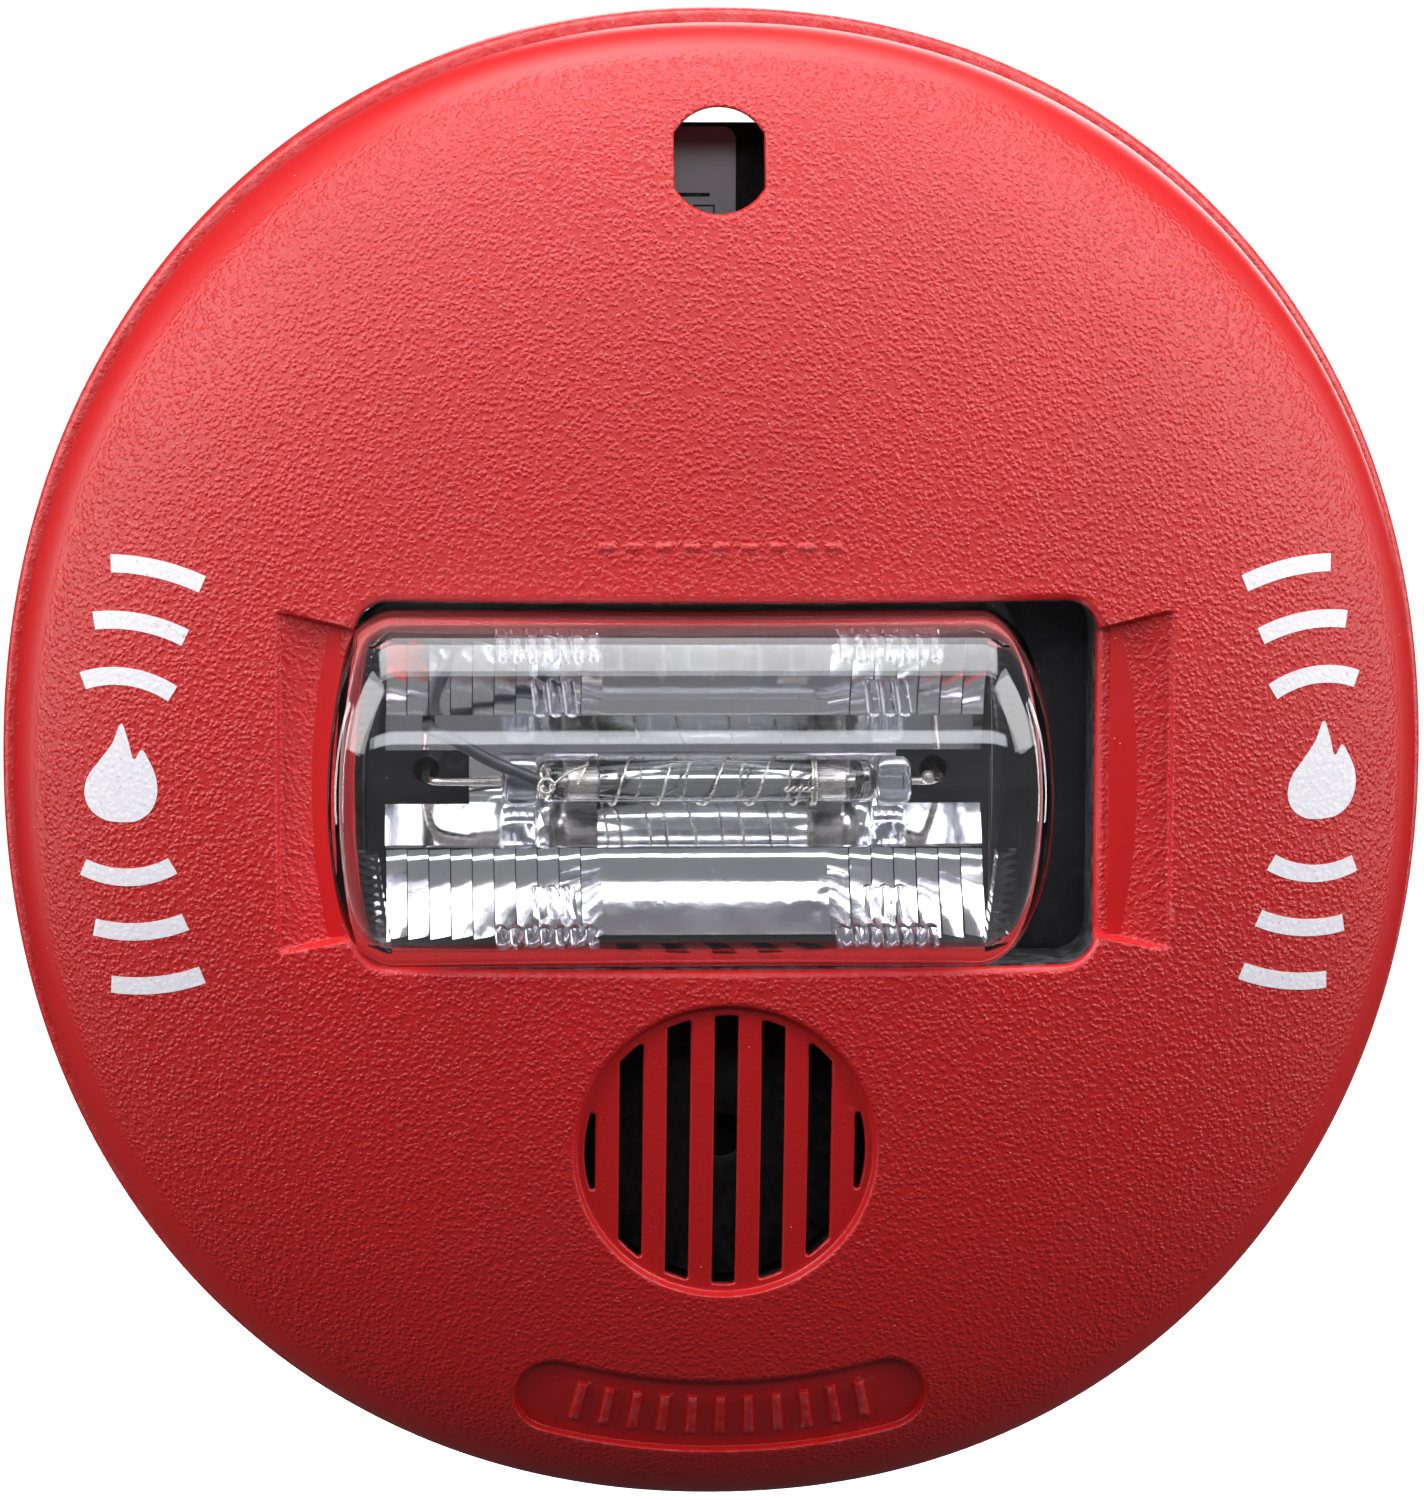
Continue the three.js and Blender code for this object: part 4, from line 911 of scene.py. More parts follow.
@dataclass(frozen=True)
class GrainedMoulding:
    """Moulded plastic with a leathery grain where the mould was textured, and satin elsewhere."""

    name: str
    colour: Colour
    deep: Colour
    roughness: float = 0.36
    cells: float = 1650.0
    depth_mm: float = 0.2
    sheen: float = 0.72
    dust: float = 0.55

    def build(self) -> Material:
        """Make the material."""
        material, graph, shader, place = begin(self.name)
        shader.inputs["Specular IOR Level"].default_value = self.sheen
        mask = graph.node("Attribute", attribute_name="grain").outputs["Fac"]
        grain = graph.effect(EFFECTS.grain, Place=place, Cells=self.cells, Mask=mask)
        drift = graph.drift(place, 38.0)
        dust = graph.dust(place, 1500.0, self.dust)
        wear = graph.wear(place, 0.35)
        colour = graph.mix(graph.times(drift, 0.35), self.colour, self.deep)
        # The grain's creases darken toward the deep red: painted shade in the creases.
        colour = graph.mix(graph.times(grain.outputs["Crease"], 0.22), colour, self.deep)
        pale = tuple(c + (1 - c) * 0.35 for c in self.colour)
        colour = graph.mix(wear, colour, pale)
        graph.put(shader.inputs["Base Color"], graph.mix(dust, colour, (0.86, 0.8, 0.78)))
        rough = graph.spread(drift, 0.0, 1.0, self.roughness - 0.03, self.roughness + 0.04)
        rough = graph.plus(rough, graph.times(grain.outputs["Crease"], 0.08))
        graph.put(shader.inputs["Roughness"], graph.plus(rough, graph.times(dust, 0.4)))
        fine = graph.times(graph.noise(place, 5200.0, 2.0), 0.09)
        height = graph.plus(graph.plus(grain.outputs["Height"], fine), graph.times(dust, 0.4))
        graph.put(shader.inputs["Normal"], bump(graph, height, self.depth_mm))
        return material


@dataclass(frozen=True)
class Moulding:
    """Plain moulded plastic or rubber: a fine satin skin, slow drift, rubbed edges and some dust."""

    name: str
    colour: Colour
    roughness: float = 0.45
    dust: float = 0.4
    depth_mm: float = 0.02
    wear: float = 0.4

    def build(self) -> Material:
        """Make the material."""
        material, graph, shader, place = begin(self.name)
        drift = graph.drift(place, 110.0)
        dust = graph.dust(place, 1600.0, self.dust)
        wear = graph.wear(place, self.wear)
        darker = tuple(c * 0.72 for c in self.colour)
        lighter = tuple(c + (0.85 - c) * 0.25 for c in self.colour)
        colour = graph.mix(graph.times(drift, 0.5), self.colour, darker)
        colour = graph.mix(wear, colour, lighter)
        graph.put(shader.inputs["Base Color"], graph.mix(dust, colour, (0.6, 0.58, 0.56)))
        graph.put(
            shader.inputs["Roughness"],
            graph.spread(drift, 0.0, 1.0, self.roughness - 0.06, self.roughness + 0.07),
        )
        skin = graph.plus(graph.noise(place, 3200.0, 3.0), graph.times(dust, 0.5))
        graph.put(shader.inputs["Normal"], bump(graph, skin, self.depth_mm, 0.7))
        return material


@dataclass(frozen=True)
class Metal:
    """Bare or plated metal with drawn lines, dull patches and bright rubbed edges."""

    name: str
    colour: Colour
    roughness: float = 0.25
    tarnish: float = 0.4
    lines: float = 4200.0

    def build(self) -> Material:
        """Make the material."""
        material, graph, shader, place = begin(self.name)
        shader.inputs["Metallic"].default_value = 1.0
        drift = graph.drift(place, 260.0)
        lines = graph.effect(EFFECTS.brushing, Place=place, Lines=self.lines).outputs[0]
        wear = graph.wear(place, 0.7)
        dull = tuple(c * 0.62 for c in self.colour)
        colour = graph.mix(graph.times(drift, self.tarnish), self.colour, dull)
        bright = tuple(min(1.0, c * 1.25) for c in self.colour)
        graph.put(shader.inputs["Base Color"], graph.mix(wear, colour, bright))
        rough = graph.spread(lines, 0.3, 0.7, self.roughness - 0.07, self.roughness + 0.09)
        graph.put(shader.inputs["Roughness"], graph.plus(rough, graph.times(drift, 0.08), clamp=True))
        graph.put(shader.inputs["Normal"], bump(graph, lines, 0.008, 0.5))
        return material


@dataclass(frozen=True)
class MirrorCoating:
    """A metallised moulding: nearly a mirror, with faint mould ripples and small dull specks."""

    name: str
    colour: Colour = (0.78, 0.78, 0.81)
    roughness: float = 0.08

    def build(self) -> Material:
        """Make the material."""
        material, graph, shader, place = begin(self.name)
        shader.inputs["Metallic"].default_value = 1.0
        drift = graph.drift(place, 120.0)
        dust = graph.dust(place, 1300.0, 0.9)
        colour = graph.mix(graph.times(drift, 0.25), self.colour, (0.7, 0.69, 0.66))
        graph.put(shader.inputs["Base Color"], graph.mix(dust, colour, (0.5, 0.48, 0.45)))
        rough = graph.spread(drift, 0.0, 1.0, self.roughness - 0.03, self.roughness + 0.05)
        graph.put(shader.inputs["Roughness"], graph.plus(rough, graph.times(dust, 0.4)))
        ripple = graph.noise(place, 420.0, 2.0)
        graph.put(shader.inputs["Normal"], bump(graph, ripple, 0.03, 0.6))
        return material


@dataclass(frozen=True)
class ClearMoulding:
    """Clear plastic or glass. Light that only casts shadow passes it, so what is inside stays lit."""

    name: str
    tint: Colour = (1.0, 1.0, 1.0)
    roughness: float = 0.015
    index: float = 1.5
    ripple_mm: float = 0.01
    shade: Colour = (0.96, 0.96, 0.98)

    def build(self) -> Material:
        """Make the material."""
        material, graph, shader, place = begin(self.name)
        shader.inputs["Transmission Weight"].default_value = 1.0
        shader.inputs["IOR"].default_value = self.index
        drift = graph.drift(place, 90.0)
        dust = graph.dust(place, 1500.0, 0.6)
        faint = tuple(c * 0.985 for c in self.tint)
        graph.put(shader.inputs["Base Color"], graph.mix(drift, self.tint, faint))
        rough = graph.spread(drift, 0.2, 1.0, self.roughness, self.roughness + 0.02)
        graph.put(shader.inputs["Roughness"], graph.plus(rough, graph.times(dust, 0.3)))
        graph.put(shader.inputs["Normal"], bump(graph, graph.noise(place, 160.0, 2.0), self.ripple_mm, 0.5))
        clear = graph.node("BsdfTransparent")
        clear.inputs[0].default_value = (*self.shade, 1.0)
        seen = graph.node("MixShader")
        graph.put(seen.inputs[0], graph.node("LightPath").outputs["Is Shadow Ray"])
        graph.put(seen.inputs[1], shader.outputs[0])
        graph.put(seen.inputs[2], clear.outputs[0])
        graph.put(graph.tree.nodes["Material Output"].inputs[0], seen.outputs[0])
        return material


@dataclass(frozen=True)
class PrintedWhite:
    """Pad-printed white ink with small pinholes and a slightly thin edge."""

    name: str
    colour: Colour = (0.9, 0.9, 0.95)
    under: Colour = (0.5, 0.02, 0.03)

    def build(self) -> Material:
        """Make the material."""
        material, graph, shader, place = begin(self.name)
        grain = graph.effect(EFFECTS.grain, Place=place, Cells=1450.0, Mask=1.0)
        thin = graph.spread(graph.noise(place, 1600.0, 4.0, 0.7), 0.28, 0.4, 0.55, 0.0)
        # The grain's creases darken toward grey-pink: painted shade in the creases.
        colour = graph.mix(graph.times(grain.outputs["Crease"], 0.16), self.colour, (0.62, 0.5, 0.54))
        graph.put(shader.inputs["Base Color"], graph.mix(thin, colour, self.under))
        graph.put(shader.inputs["Roughness"], graph.spread(grain.outputs["Crease"], 0.0, 1.0, 0.4, 0.6))
        graph.put(shader.inputs["Normal"], bump(graph, grain.outputs["Height"], 0.05))
        return material


@dataclass(frozen=True)
class Winding:
    """Enamelled wire laid in turns, seen as fine ribs that run round the coil."""

    name: str
    colour: Colour = (0.6, 0.24, 0.1)

    def build(self) -> Material:
        """Make the material."""
        material, graph, shader, place = begin(self.name)
        shader.inputs["Metallic"].default_value = 0.85
        ribs = graph.node("TexWave", bands_direction="Y")
        graph.put(ribs.inputs["Vector"], place)
        ribs.inputs["Scale"].default_value = 900.0
        ribs.inputs["Distortion"].default_value = 0.8
        drift = graph.drift(place, 300.0)
        colour = graph.mix(drift, self.colour, tuple(c * 0.6 for c in self.colour))
        graph.put(
            shader.inputs["Base Color"],
            graph.mix(graph.times(ribs.outputs[1], 0.4), colour, (0.75, 0.4, 0.2)),
        )
        graph.put(shader.inputs["Roughness"], graph.spread(drift, 0.0, 1.0, 0.22, 0.4))
        graph.put(shader.inputs["Normal"], bump(graph, ribs.outputs[1], 0.1))
        return material


class Palette:
    """Every finish on the object, built once."""

    def __init__(self) -> None:
        """Build the materials."""
        self.red = GrainedMoulding("red_grained", (0.58, 0.0075, 0.0095), (0.45, 0.005, 0.0065)).build()
        self.white = PrintedWhite("white_ink").build()
        self.black = Moulding("black_satin", (0.007, 0.007, 0.0085), 0.42).build()
        self.lens = ClearMoulding("lens_clear", (0.985, 0.985, 1.0), 0.01, 1.5).build()
        self.prism = ClearMoulding(
            "lens_prisms", (0.93, 0.92, 1.0), 0.03, 1.5, 0.03, (0.85, 0.84, 0.93)
        ).build()
        self.glass = ClearMoulding("tube_glass", (0.99, 0.995, 1.0), 0.005, 1.47).build()
        self.mirror = MirrorCoating("mirror_coating").build()
        self.nickel = Metal("nickel_wire", (0.66, 0.63, 0.58), 0.22).build()
        self.steel = Metal("zinc_plated", (0.62, 0.62, 0.64), 0.3).build()
        # Near-black on the brass diaphragm: painted shade deep inside the horn, not the metal's own colour.
        self.horn_shade = Moulding("horn_painted_shade", (0.02, 0.018, 0.015), 0.3, 0.3).build()
        self.silicone = ClearMoulding(
            "clear_silicone", (0.9, 0.91, 0.94), 0.1, 1.42, 0.05, (0.8, 0.8, 0.84)
        ).build()
        self.insulation = Moulding("black_insulation", (0.03, 0.031, 0.034), 0.38, 0.3).build()
        self.lead_red = Moulding("red_insulation", (0.5, 0.015, 0.015), 0.4, 0.3).build()
        self.board = Moulding("solder_mask", (0.009, 0.011, 0.012), 0.3, 0.5, 0.03).build()
        self.paper = Moulding("label_paper", (0.82, 0.79, 0.82), 0.6, 0.3, 0.03).build()
        self.sleeve = Moulding("capacitor_sleeve", (0.02, 0.03, 0.08), 0.25, 0.4).build()
        self.component = Moulding("component_body", (0.02, 0.02, 0.022), 0.5, 0.4, 0.04).build()
        self.dip = Moulding("dip_red", (0.45, 0.015, 0.015), 0.35, 0.3).build()
        self.lever = Moulding("switch_white", (0.78, 0.76, 0.72), 0.35, 0.3).build()
        self.green = Moulding("terminal_green", (0.025, 0.19, 0.07), 0.4, 0.4).build()
        self.winding = Winding("copper_winding").build()
        self.ceramic = Moulding("piezo_ceramic", (0.78, 0.75, 0.66), 0.5, 0.3).build()


# ---------------------------------------------------------------- front cover


@dataclass
class FrontCover:
    """The domed red cover: an outer skin with round lips, an inner skin and a collar round the window."""

    finish: Material
    oval: Oval = field(default_factory=Oval)
    wall: float = 2.5
    edge_z: float = 12.5
    shoulder_z: float = 17.0
    rise: float = 26.0
    window: Pair = (87.6, 43.4)
    window_y: float = 0.8
    window_corner: float = 4.0
    window_lip: float = 0.9
    collar: float = 1.6
    scoop_length: float = 9.3
    scoop_depth: float = 3.0
    scoop_half: float = 20.4
    scoop_taper: float = 3.1
    grille_y: float = -43.2
    grille_radius: float = 18.2
    grille_depth: float = 1.2
    slot_count: int = 7
    slot_width: float = 2.8
    slot_pitch: float = 5.6
    slot_field: float = 16.7
    key_x: float = -0.8
    key_y: float = 73.6
    key_radius: float = 6.2
    key_flats: float = 10.7
    pocket_radius: float = 77.3
    pocket_width: float = 10.0
    pocket_half_deg: float = 15.0
    pocket_depth: float = 1.3
    smooth_rim: float = 3.3
    spacing: float = 1.5
    # The black sheet on the window's wall is painted shade: its thickness, its foot and its drop below the
    # lip.
    shade_sheet_thick: float = 0.2
    shade_sheet_foot: float = 27.2
    shade_sheet_drop: float = 1.1
    bar_count: int = 9
    bar_start: float = -14.3
    bar_pitch: float = 3.32
    bar_y: float = 29.1
    bar_size: Pair = (2.1, 0.9)
    bar_rise: float = 0.26
    rib_count: int = 11
    rib_pitch_deg: float = 2.55
    rib_half: Pair = (2.3, 0.35)
    rib_rise: float = 0.75
    scoop_corner: float = 0.8
    scoop_lip: float = 0.3
    key_corner: float = 0.7
    key_lip: float = 0.45
    slot_corner: float = 0.35
    slot_lip: float = 0.3
    collar_depth: float = 4.5

    def __post_init__(self) -> None:
        """Draw the outlines of the openings and the recesses."""
        width, height = self.window
        self.window_line = Outline.rectangle(0, self.window_y, width, height, self.window_corner)
        half = self.key_flats / 2
        low, high = self.key_x - half, self.key_x + half
        self.key_line = Outline.clipped_circle(
            self.key_x, self.key_y, self.key_radius, low, high, self.key_corner
        )
        self.slot_lines = []
        for i in range(self.slot_count):
            x = (i - (self.slot_count - 1) / 2) * self.slot_pitch
            low, high = x - self.slot_width / 2, x + self.slot_width / 2
            self.slot_lines.append(
                Outline.clipped_circle(0, self.grille_y, self.slot_field, low, high, self.slot_corner)
            )
        self.grille_line = Outline.circle(0, self.grille_y, self.grille_radius, 160)
        self.pocket_line = Outline.bent_band(self.pocket_radius, self.pocket_width, -90, self.pocket_half_deg)
        self.scoop_lines = [self._scoop_line(side) for side in (-1, 1)]
        self.raised_lines = self._raised_marks()

    def _scoop_line(self, side: int) -> Outline:
        """Draw the ramp beside the window on one side."""
        inner, outer = self.window[0] / 2 - 2, self.window[0] / 2 + self.scoop_length
        high, low = self.scoop_half, self.scoop_half - self.scoop_taper
        r = self.scoop_corner
        corners = [(inner, -low), (outer - r, -high + r), (outer - r, high - r), (inner, low)]
        placed = [(side * x, self.window_y + y) for x, y in corners]
        return Outline.rounded(placed if side > 0 else placed[::-1], r)

    def _raised_marks(self) -> list[Outline]:
        """Draw the short plain bars above the window and the plain ribs in the pocket."""
        marks = []
        for i in range(self.bar_count):
            x = self.bar_start + i * self.bar_pitch
            marks.append(Outline.rectangle(x, self.bar_y, *self.bar_size, 0.4, 0.5))
        tall, thin = self.rib_half
        for i in range(self.rib_count):
            angle = math.radians(-90 + (i - self.rib_count // 2) * self.rib_pitch_deg)
            out = np.array([math.cos(angle), math.sin(angle)])
            side = np.array([-math.sin(angle), math.cos(angle)])
            middle = self.pocket_radius * out
            reach = ((tall, -thin), (tall, thin), (-tall, thin), (-tall, -thin))
            corners = [middle + out * a + side * b for a, b in reach]
            marks.append(Outline.rounded([tuple(c) for c in corners], thin, 0.6))
        return marks

    def dome(self, x: np.ndarray, y: np.ndarray, inset: float = 0.0) -> np.ndarray:
        """Give the height of the dome, moved in by an inset."""
        share = np.clip(self.oval.share(x, y, self.oval.radius - inset), 0, 1)
        return self.shoulder_z + (self.rise - inset) * np.sqrt(1 - share**2)

    def surface(self, x: np.ndarray, y: np.ndarray, lips: bool = True) -> np.ndarray:
        """Give the height of the outer skin.

        Args:
            x: The points' x.
            y: The points' y.
            lips: Whether the round lips of the openings count.

        Returns:
            The heights.
        """
        z = self.dome(x, y)
        edge = self.window[0] / 2
        outer = edge + self.scoop_length
        corner = np.array([edge]), np.array([self.scoop_half])
        low = float(self.dome(*corner)[0]) - self.scoop_depth
        high = float(self.dome(np.array([outer]), np.array([self.scoop_half]))[0]) - self.scoop_lip
        ramp = low + (high - low) * (np.abs(x) - edge) / self.scoop_length
        for line in self.scoop_lines:
            inside = ease(-line.distance(x, y) / 0.7)
            z = z + np.minimum(ramp - z, 0) * inside
        z = z - self.grille_depth * ease(-self.grille_line.distance(x, y) / 0.7)
        z = z - self.pocket_depth * ease(-self.pocket_line.distance(x, y) / 0.6)
        for k, line in enumerate(self.raised_lines):
            rise = self.bar_rise if k < self.bar_count else self.rib_rise
            z = z + rise * ease((0.05 - line.distance(x, y, 1.5)) / 0.35)
        if lips:
            for line, radius in self.openings():
                gap = np.clip(line.distance(x, y), 0, radius)
                z = z - (radius - np.sqrt(radius**2 - (radius - gap) ** 2))
        return z

    def openings(self) -> list[tuple[Outline, float]]:
        """List the openings with the radius of each one's lip."""
        slots = ((line, self.slot_lip) for line in self.slot_lines)
        return [(self.window_line, self.window_lip), (self.key_line, self.key_lip), *slots]

    def grain_at(self, x: np.ndarray, y: np.ndarray) -> np.ndarray:
        """Give how grained the skin is: not at the rim, the window's lip, the grille or the pocket."""
        from_rim = (1 - self.oval.share(x, y)) * self.oval.radius
        grain = ease((from_rim - self.smooth_rim + 0.5) / 1.0)
        grain = grain * ease((self.window_line.distance(x, y) - 0.3) / 0.7)
        grain = grain * (1 - 0.8 * ease((0.3 - self.grille_line.distance(x, y)) / 0.5))
        return grain * (1 - 0.8 * ease((0.3 - self.pocket_line.distance(x, y)) / 0.5))

    def _outer_skin(self, shell: Shell) -> tuple[list[int], list[list[int]]]:
        """Build the outer skin.

        Args:
            shell: The shell that it goes in.

        Returns:
            The indices of the shoulder's row, and those of each opening's edge.
        """
        turns = np.radians([0, 1, 2.2, 3.6, 5.2, 7, 9, 11.5, 14.5, 18, 22])
        rim = [np.array(self.oval.row(self.oval.radius * math.cos(t), 0))[:, :2] for t in turns]
        loops = [rim[0], *(line.points for line, _ in self.openings())]
        extra = list(rim[1:])
        for line, radius in self.openings():
            extra.extend(line.at(radius * share) for share in (0.08, 0.25, 0.5, 0.8, 1.0, 1.6))
        extra.extend(line.at(-d) for line in (self.grille_line, self.pocket_line, *self.scoop_lines)
                     for d in (-0.35, 0, 0.12, 0.24, 0.36, 0.48, 0.6, 0.72, 1.1))
        extra.extend(line.at(-d) for line in self.raised_lines for d in (-0.3, -0.05, 0.04, 0.14, 0.24, 0.32))
        reach = self.oval.half_height
        plain = grid((-reach, -reach), (reach, reach), self.spacing)
        plain = plain[self.oval.share(plain[:, 0], plain[:, 1]) < math.cos(turns[-1]) - 0.008]
        x, y = plain.T
        keep = np.ones(len(plain), bool)
        for line, radius in self.openings():
            keep &= line.distance(x, y) > radius * 1.6 + 0.4
        for line in (self.grille_line, self.pocket_line, *self.scoop_lines):
            distance = line.distance(x, y)
            keep &= (distance > 0.8) | (distance < -1.5)
        for line in self.raised_lines:
            keep &= line.distance(x, y, 2.0) > 0.7
        rings = np.vstack(extra)
        rings = rings[self.oval.share(rings[:, 0], rings[:, 1]) < 0.9999]
        hit = np.zeros(len(rings), bool)
        for line, _ in self.openings():
            hit |= line.distance(rings[:, 0], rings[:, 1]) < 0.02
        rings = rings[~hit]
        _, unique = np.unique(np.round(rings / 0.06), axis=0, return_index=True)
        points, faces = triangulate(np.vstack((plain[keep], rings[unique])), loops)
        x, y = points.T
        z, grain = self.surface(x, y), self.grain_at(x, y)
        first = len(shell.points)
        shell.points.extend(zip(x.tolist(), y.tolist(), z.tolist()))
        shell.grain.extend(grain.tolist())
        middles = points[np.array(faces)].mean(1)
        solid = self.oval.share(middles[:, 0], middles[:, 1]) <= 1.0
        for line, _ in self.openings():
            solid &= line.distance(middles[:, 0], middles[:, 1], 2.0) > 0
        shell.faces.extend(tuple(i + first for i in face) for face, good in zip(faces, solid) if good)
        rows = shell.rows_of(loops, first)
        return rows[0], rows[1:]

    def _inner_skin(self, shell: Shell, edges: Sequence[Sequence[int]], shoulder: Sequence[int]) -> None:
        """Build the inner skin and the walls that join it to the outer one.

        Args:
            shell: The shell that it goes in.
            edges: The outer skin's edge at each opening.
            shoulder: The outer skin's lowest row.
        """
        inner_radius = self.oval.radius - self.wall
        rim = np.array(self.oval.row(inner_radius, 0))[:, :2]
        collar = self.window_line.at(self.collar)
        loops = [rim, collar, *(line.points for line, _ in self.openings()[1:])]
        reach = self.oval.half_height
        plain = grid((-reach, -reach), (reach, reach), 3.5)
        x, y = plain.T
        keep = self.oval.share(x, y, inner_radius) < 0.985
        for line, _ in self.openings():
            keep &= line.distance(x, y) > 2.6
        curved = [
            np.array(self.oval.row(inner_radius * math.cos(math.radians(t)), 0))[:, :2] for t in (3, 7, 12)
        ]
        points, faces = triangulate(np.vstack((plain[keep], *curved)), loops)
        x, y = points.T
        z = self.dome(x, y, self.wall)
        near_grille = self.grille_line.distance(x, y) < 0.5
        z = np.where(near_grille, np.minimum(z, self.surface(x, y, lips=False) - 1.0), z)
        first = len(shell.points)
        shell.points.extend(zip(x.tolist(), y.tolist(), z.tolist()))
        shell.grain.extend([0.0] * len(x))
        middles = points[np.array(faces)].mean(1)
        solid = self.oval.share(middles[:, 0], middles[:, 1], inner_radius) <= 1.0
        solid &= self.window_line.distance(middles[:, 0], middles[:, 1], 4.0) > self.collar
        for line, _ in self.openings()[1:]:
            solid &= line.distance(middles[:, 0], middles[:, 1], 2.0) > 0
        shell.faces.extend(tuple(i + first for i in face) for face, good in zip(faces, solid) if good)
        rows = shell.rows_of(loops, first)
        corner = np.array([self.window[0] / 2]), np.array([self.window[1] / 2])
        foot = float(self.dome(*corner)[0]) - self.collar_depth - self.wall
        wall = shell.add([(px, py, foot) for px, py in self.window_line.points])
        base = shell.add([(px, py, foot) for px, py in collar])
        shell.bridge(edges[0], wall)
        shell.bridge(wall, base)
        shell.bridge(base, rows[1])
        for edge, row in zip(edges[1:], rows[2:]):
            shell.bridge(edge, row)
        outer = [(self.oval.radius, self.shoulder_z - 1.5), (self.oval.radius, self.edge_z + 0.9),
                 (self.oval.radius - 0.25, self.edge_z + 0.35), (self.oval.radius - 0.9, self.edge_z),
                 (inner_radius, self.edge_z)]
        made = [shell.add(self.oval.row(radius, height)) for radius, height in outer]
        for a, b in zip([list(shoulder), *made], [*made, rows[0]]):
            shell.bridge(a, b)

    def shade_sheet(self, finish: Material) -> Object:
        """Make the thin black sheet on the window's wall: painted shade, darkening the wall where little
        light reaches.

        Args:
            finish: Its material.

        Returns:
            The piece.
        """
        shell = Shell()
        near, far = self.window_line.at(-self.shade_sheet_thick), self.window_line.at(-0.02)
        rise = self.surface(*self.window_line.at(self.window_lip).T) - self.shade_sheet_drop
        rows = [[(*p, self.shade_sheet_foot) for p in far], [(*p, z) for p, z in zip(far, rise)],
                [(*p, z) for p, z in zip(near, rise)], [(*p, self.shade_sheet_foot) for p in near]]
        shell.hoop(rows)
        return shell.piece("window_shade_sheet", finish, Body.HEAD, Slot.BLACK)

    def build(self) -> Object:
        """Make the cover."""
        shell = Shell()
        shoulder, edges = self._outer_skin(shell)
        self._inner_skin(shell, edges, shoulder)
        return shell.piece("cover_shell", self.finish, Body.HEAD, Slot.RED, ("front_cover",), 42)


@dataclass
class SideMarks:
    """Plain white signs on both sides of the cover: a flame with three arcs above it and three below."""

    cover: FrontCover
    finish: Material
    middle: float = 71.5
    stroke: float = 2.1
    lift: float = 0.06
    arc_radii: tuple[float, ...] = (12.0, 18.6, 25.2)
    arc_half: float = 5.6

    def _film(self, name: str, line: Outline) -> Object:
        """Lay one patch of ink on the cover.

        Args:
            name: The piece's name.
            line: The patch's outline.

        Returns:
            The piece.
        """
        low, high = line.points.min(0), line.points.max(0)
        plain = grid(tuple(low), tuple(high), 0.8)
        plain = plain[line.distance(*plain.T) < -0.3]
        points, faces = triangulate(plain, [line.points])
        shell = Shell()
        x, y = points.T
        z = self.cover.surface(x, y)
        top = shell.add(list(zip(x, y, z + self.lift)))
        middles = points[np.array(faces)].mean(1)
        inside = line.distance(*middles.T) < 0
        shell.faces.extend(tuple(top[i] for i in face) for face, good in zip(faces, inside) if good)
        count = len(line.points)
        foot = shell.add([(a, b, c - 0.05) for a, b, c in zip(x[:count], y[:count], z[:count])])
        shell.bridge(top[:count], foot)
        return shell.piece(name, self.finish, Body.HEAD, None, crease_deg=60)

    def _arc(self, centre: np.ndarray, radius: float, aim: float, half: float) -> Outline:
        """Draw one arc about the flame, with square ends.

        Args:
            centre: The flame's middle.
            radius: The arc's radius.
            aim: The direction of its middle.
            half: Half its angle.

        Returns:
            The outline.
        """
        turns = np.linspace(aim - half, aim + half, 22)
        outs = np.column_stack((np.cos(turns), np.sin(turns)))
        outer, inner = centre + (
            radius + self.stroke / 2
        ) * outs, centre + (radius - self.stroke / 2) * outs[::-1]
        loop = np.vstack((outer, inner))
        return Outline(loop, np.zeros_like(loop))

    def _flame(self, side: int) -> Outline:
        """Draw a flame that stands upright on one side."""
        left = [(0.0, -5.4), (2.0, -5.1), (3.6, -3.9), (4.4, -2.0), (4.3, 0.2), (3.4, 2.3), (2.6, 3.4)]
        right = [(1.7, 2.2), (1.0, 4.4), (0.2, 6.4), (-0.9, 4.0), (-2.4, 1.9), (-3.9, -0.2), (-4.3, -2.4),
                 (-3.5, -4.2), (-1.9, -5.2)]
        path = smooth_path([(x, y, 0) for x, y in [*left, *right, left[0]]], 5)[:-1, :2]
        path = path + np.array([side * self.middle, 0.8])
        along = np.roll(path, -1, axis=0) - np.roll(path, 1, axis=0)
        along /= np.linalg.norm(along, axis=1)[:, None]
        return Outline(path, np.column_stack((along[:, 1], -along[:, 0])))

    def build(self) -> list[Object]:
        """Make both signs."""
        made = []
        for side, word in ((-1, "left"), (1, "right")):
            made.append(self._film(f"side_mark_{word}_flame", self._flame(side)))
            facing = 180 if side < 0 else 0
            flame = np.array([side * self.middle, 0.8])
            for k, away in enumerate((*self.arc_radii, *(-r for r in self.arc_radii))):
                turn = math.radians(facing) + side * away / self.middle
                spot = self.middle * np.array([math.cos(turn), math.sin(turn)])
                aim = math.atan2(*(spot - flame)[::-1])
                half = self.arc_half / abs(away)
                made.append(
                    self._film(f"side_mark_{word}_arc_{k + 1}", self._arc(flame, abs(away), aim, half))
                )
        return made


# ---------------------------------------------------------------- mounting base


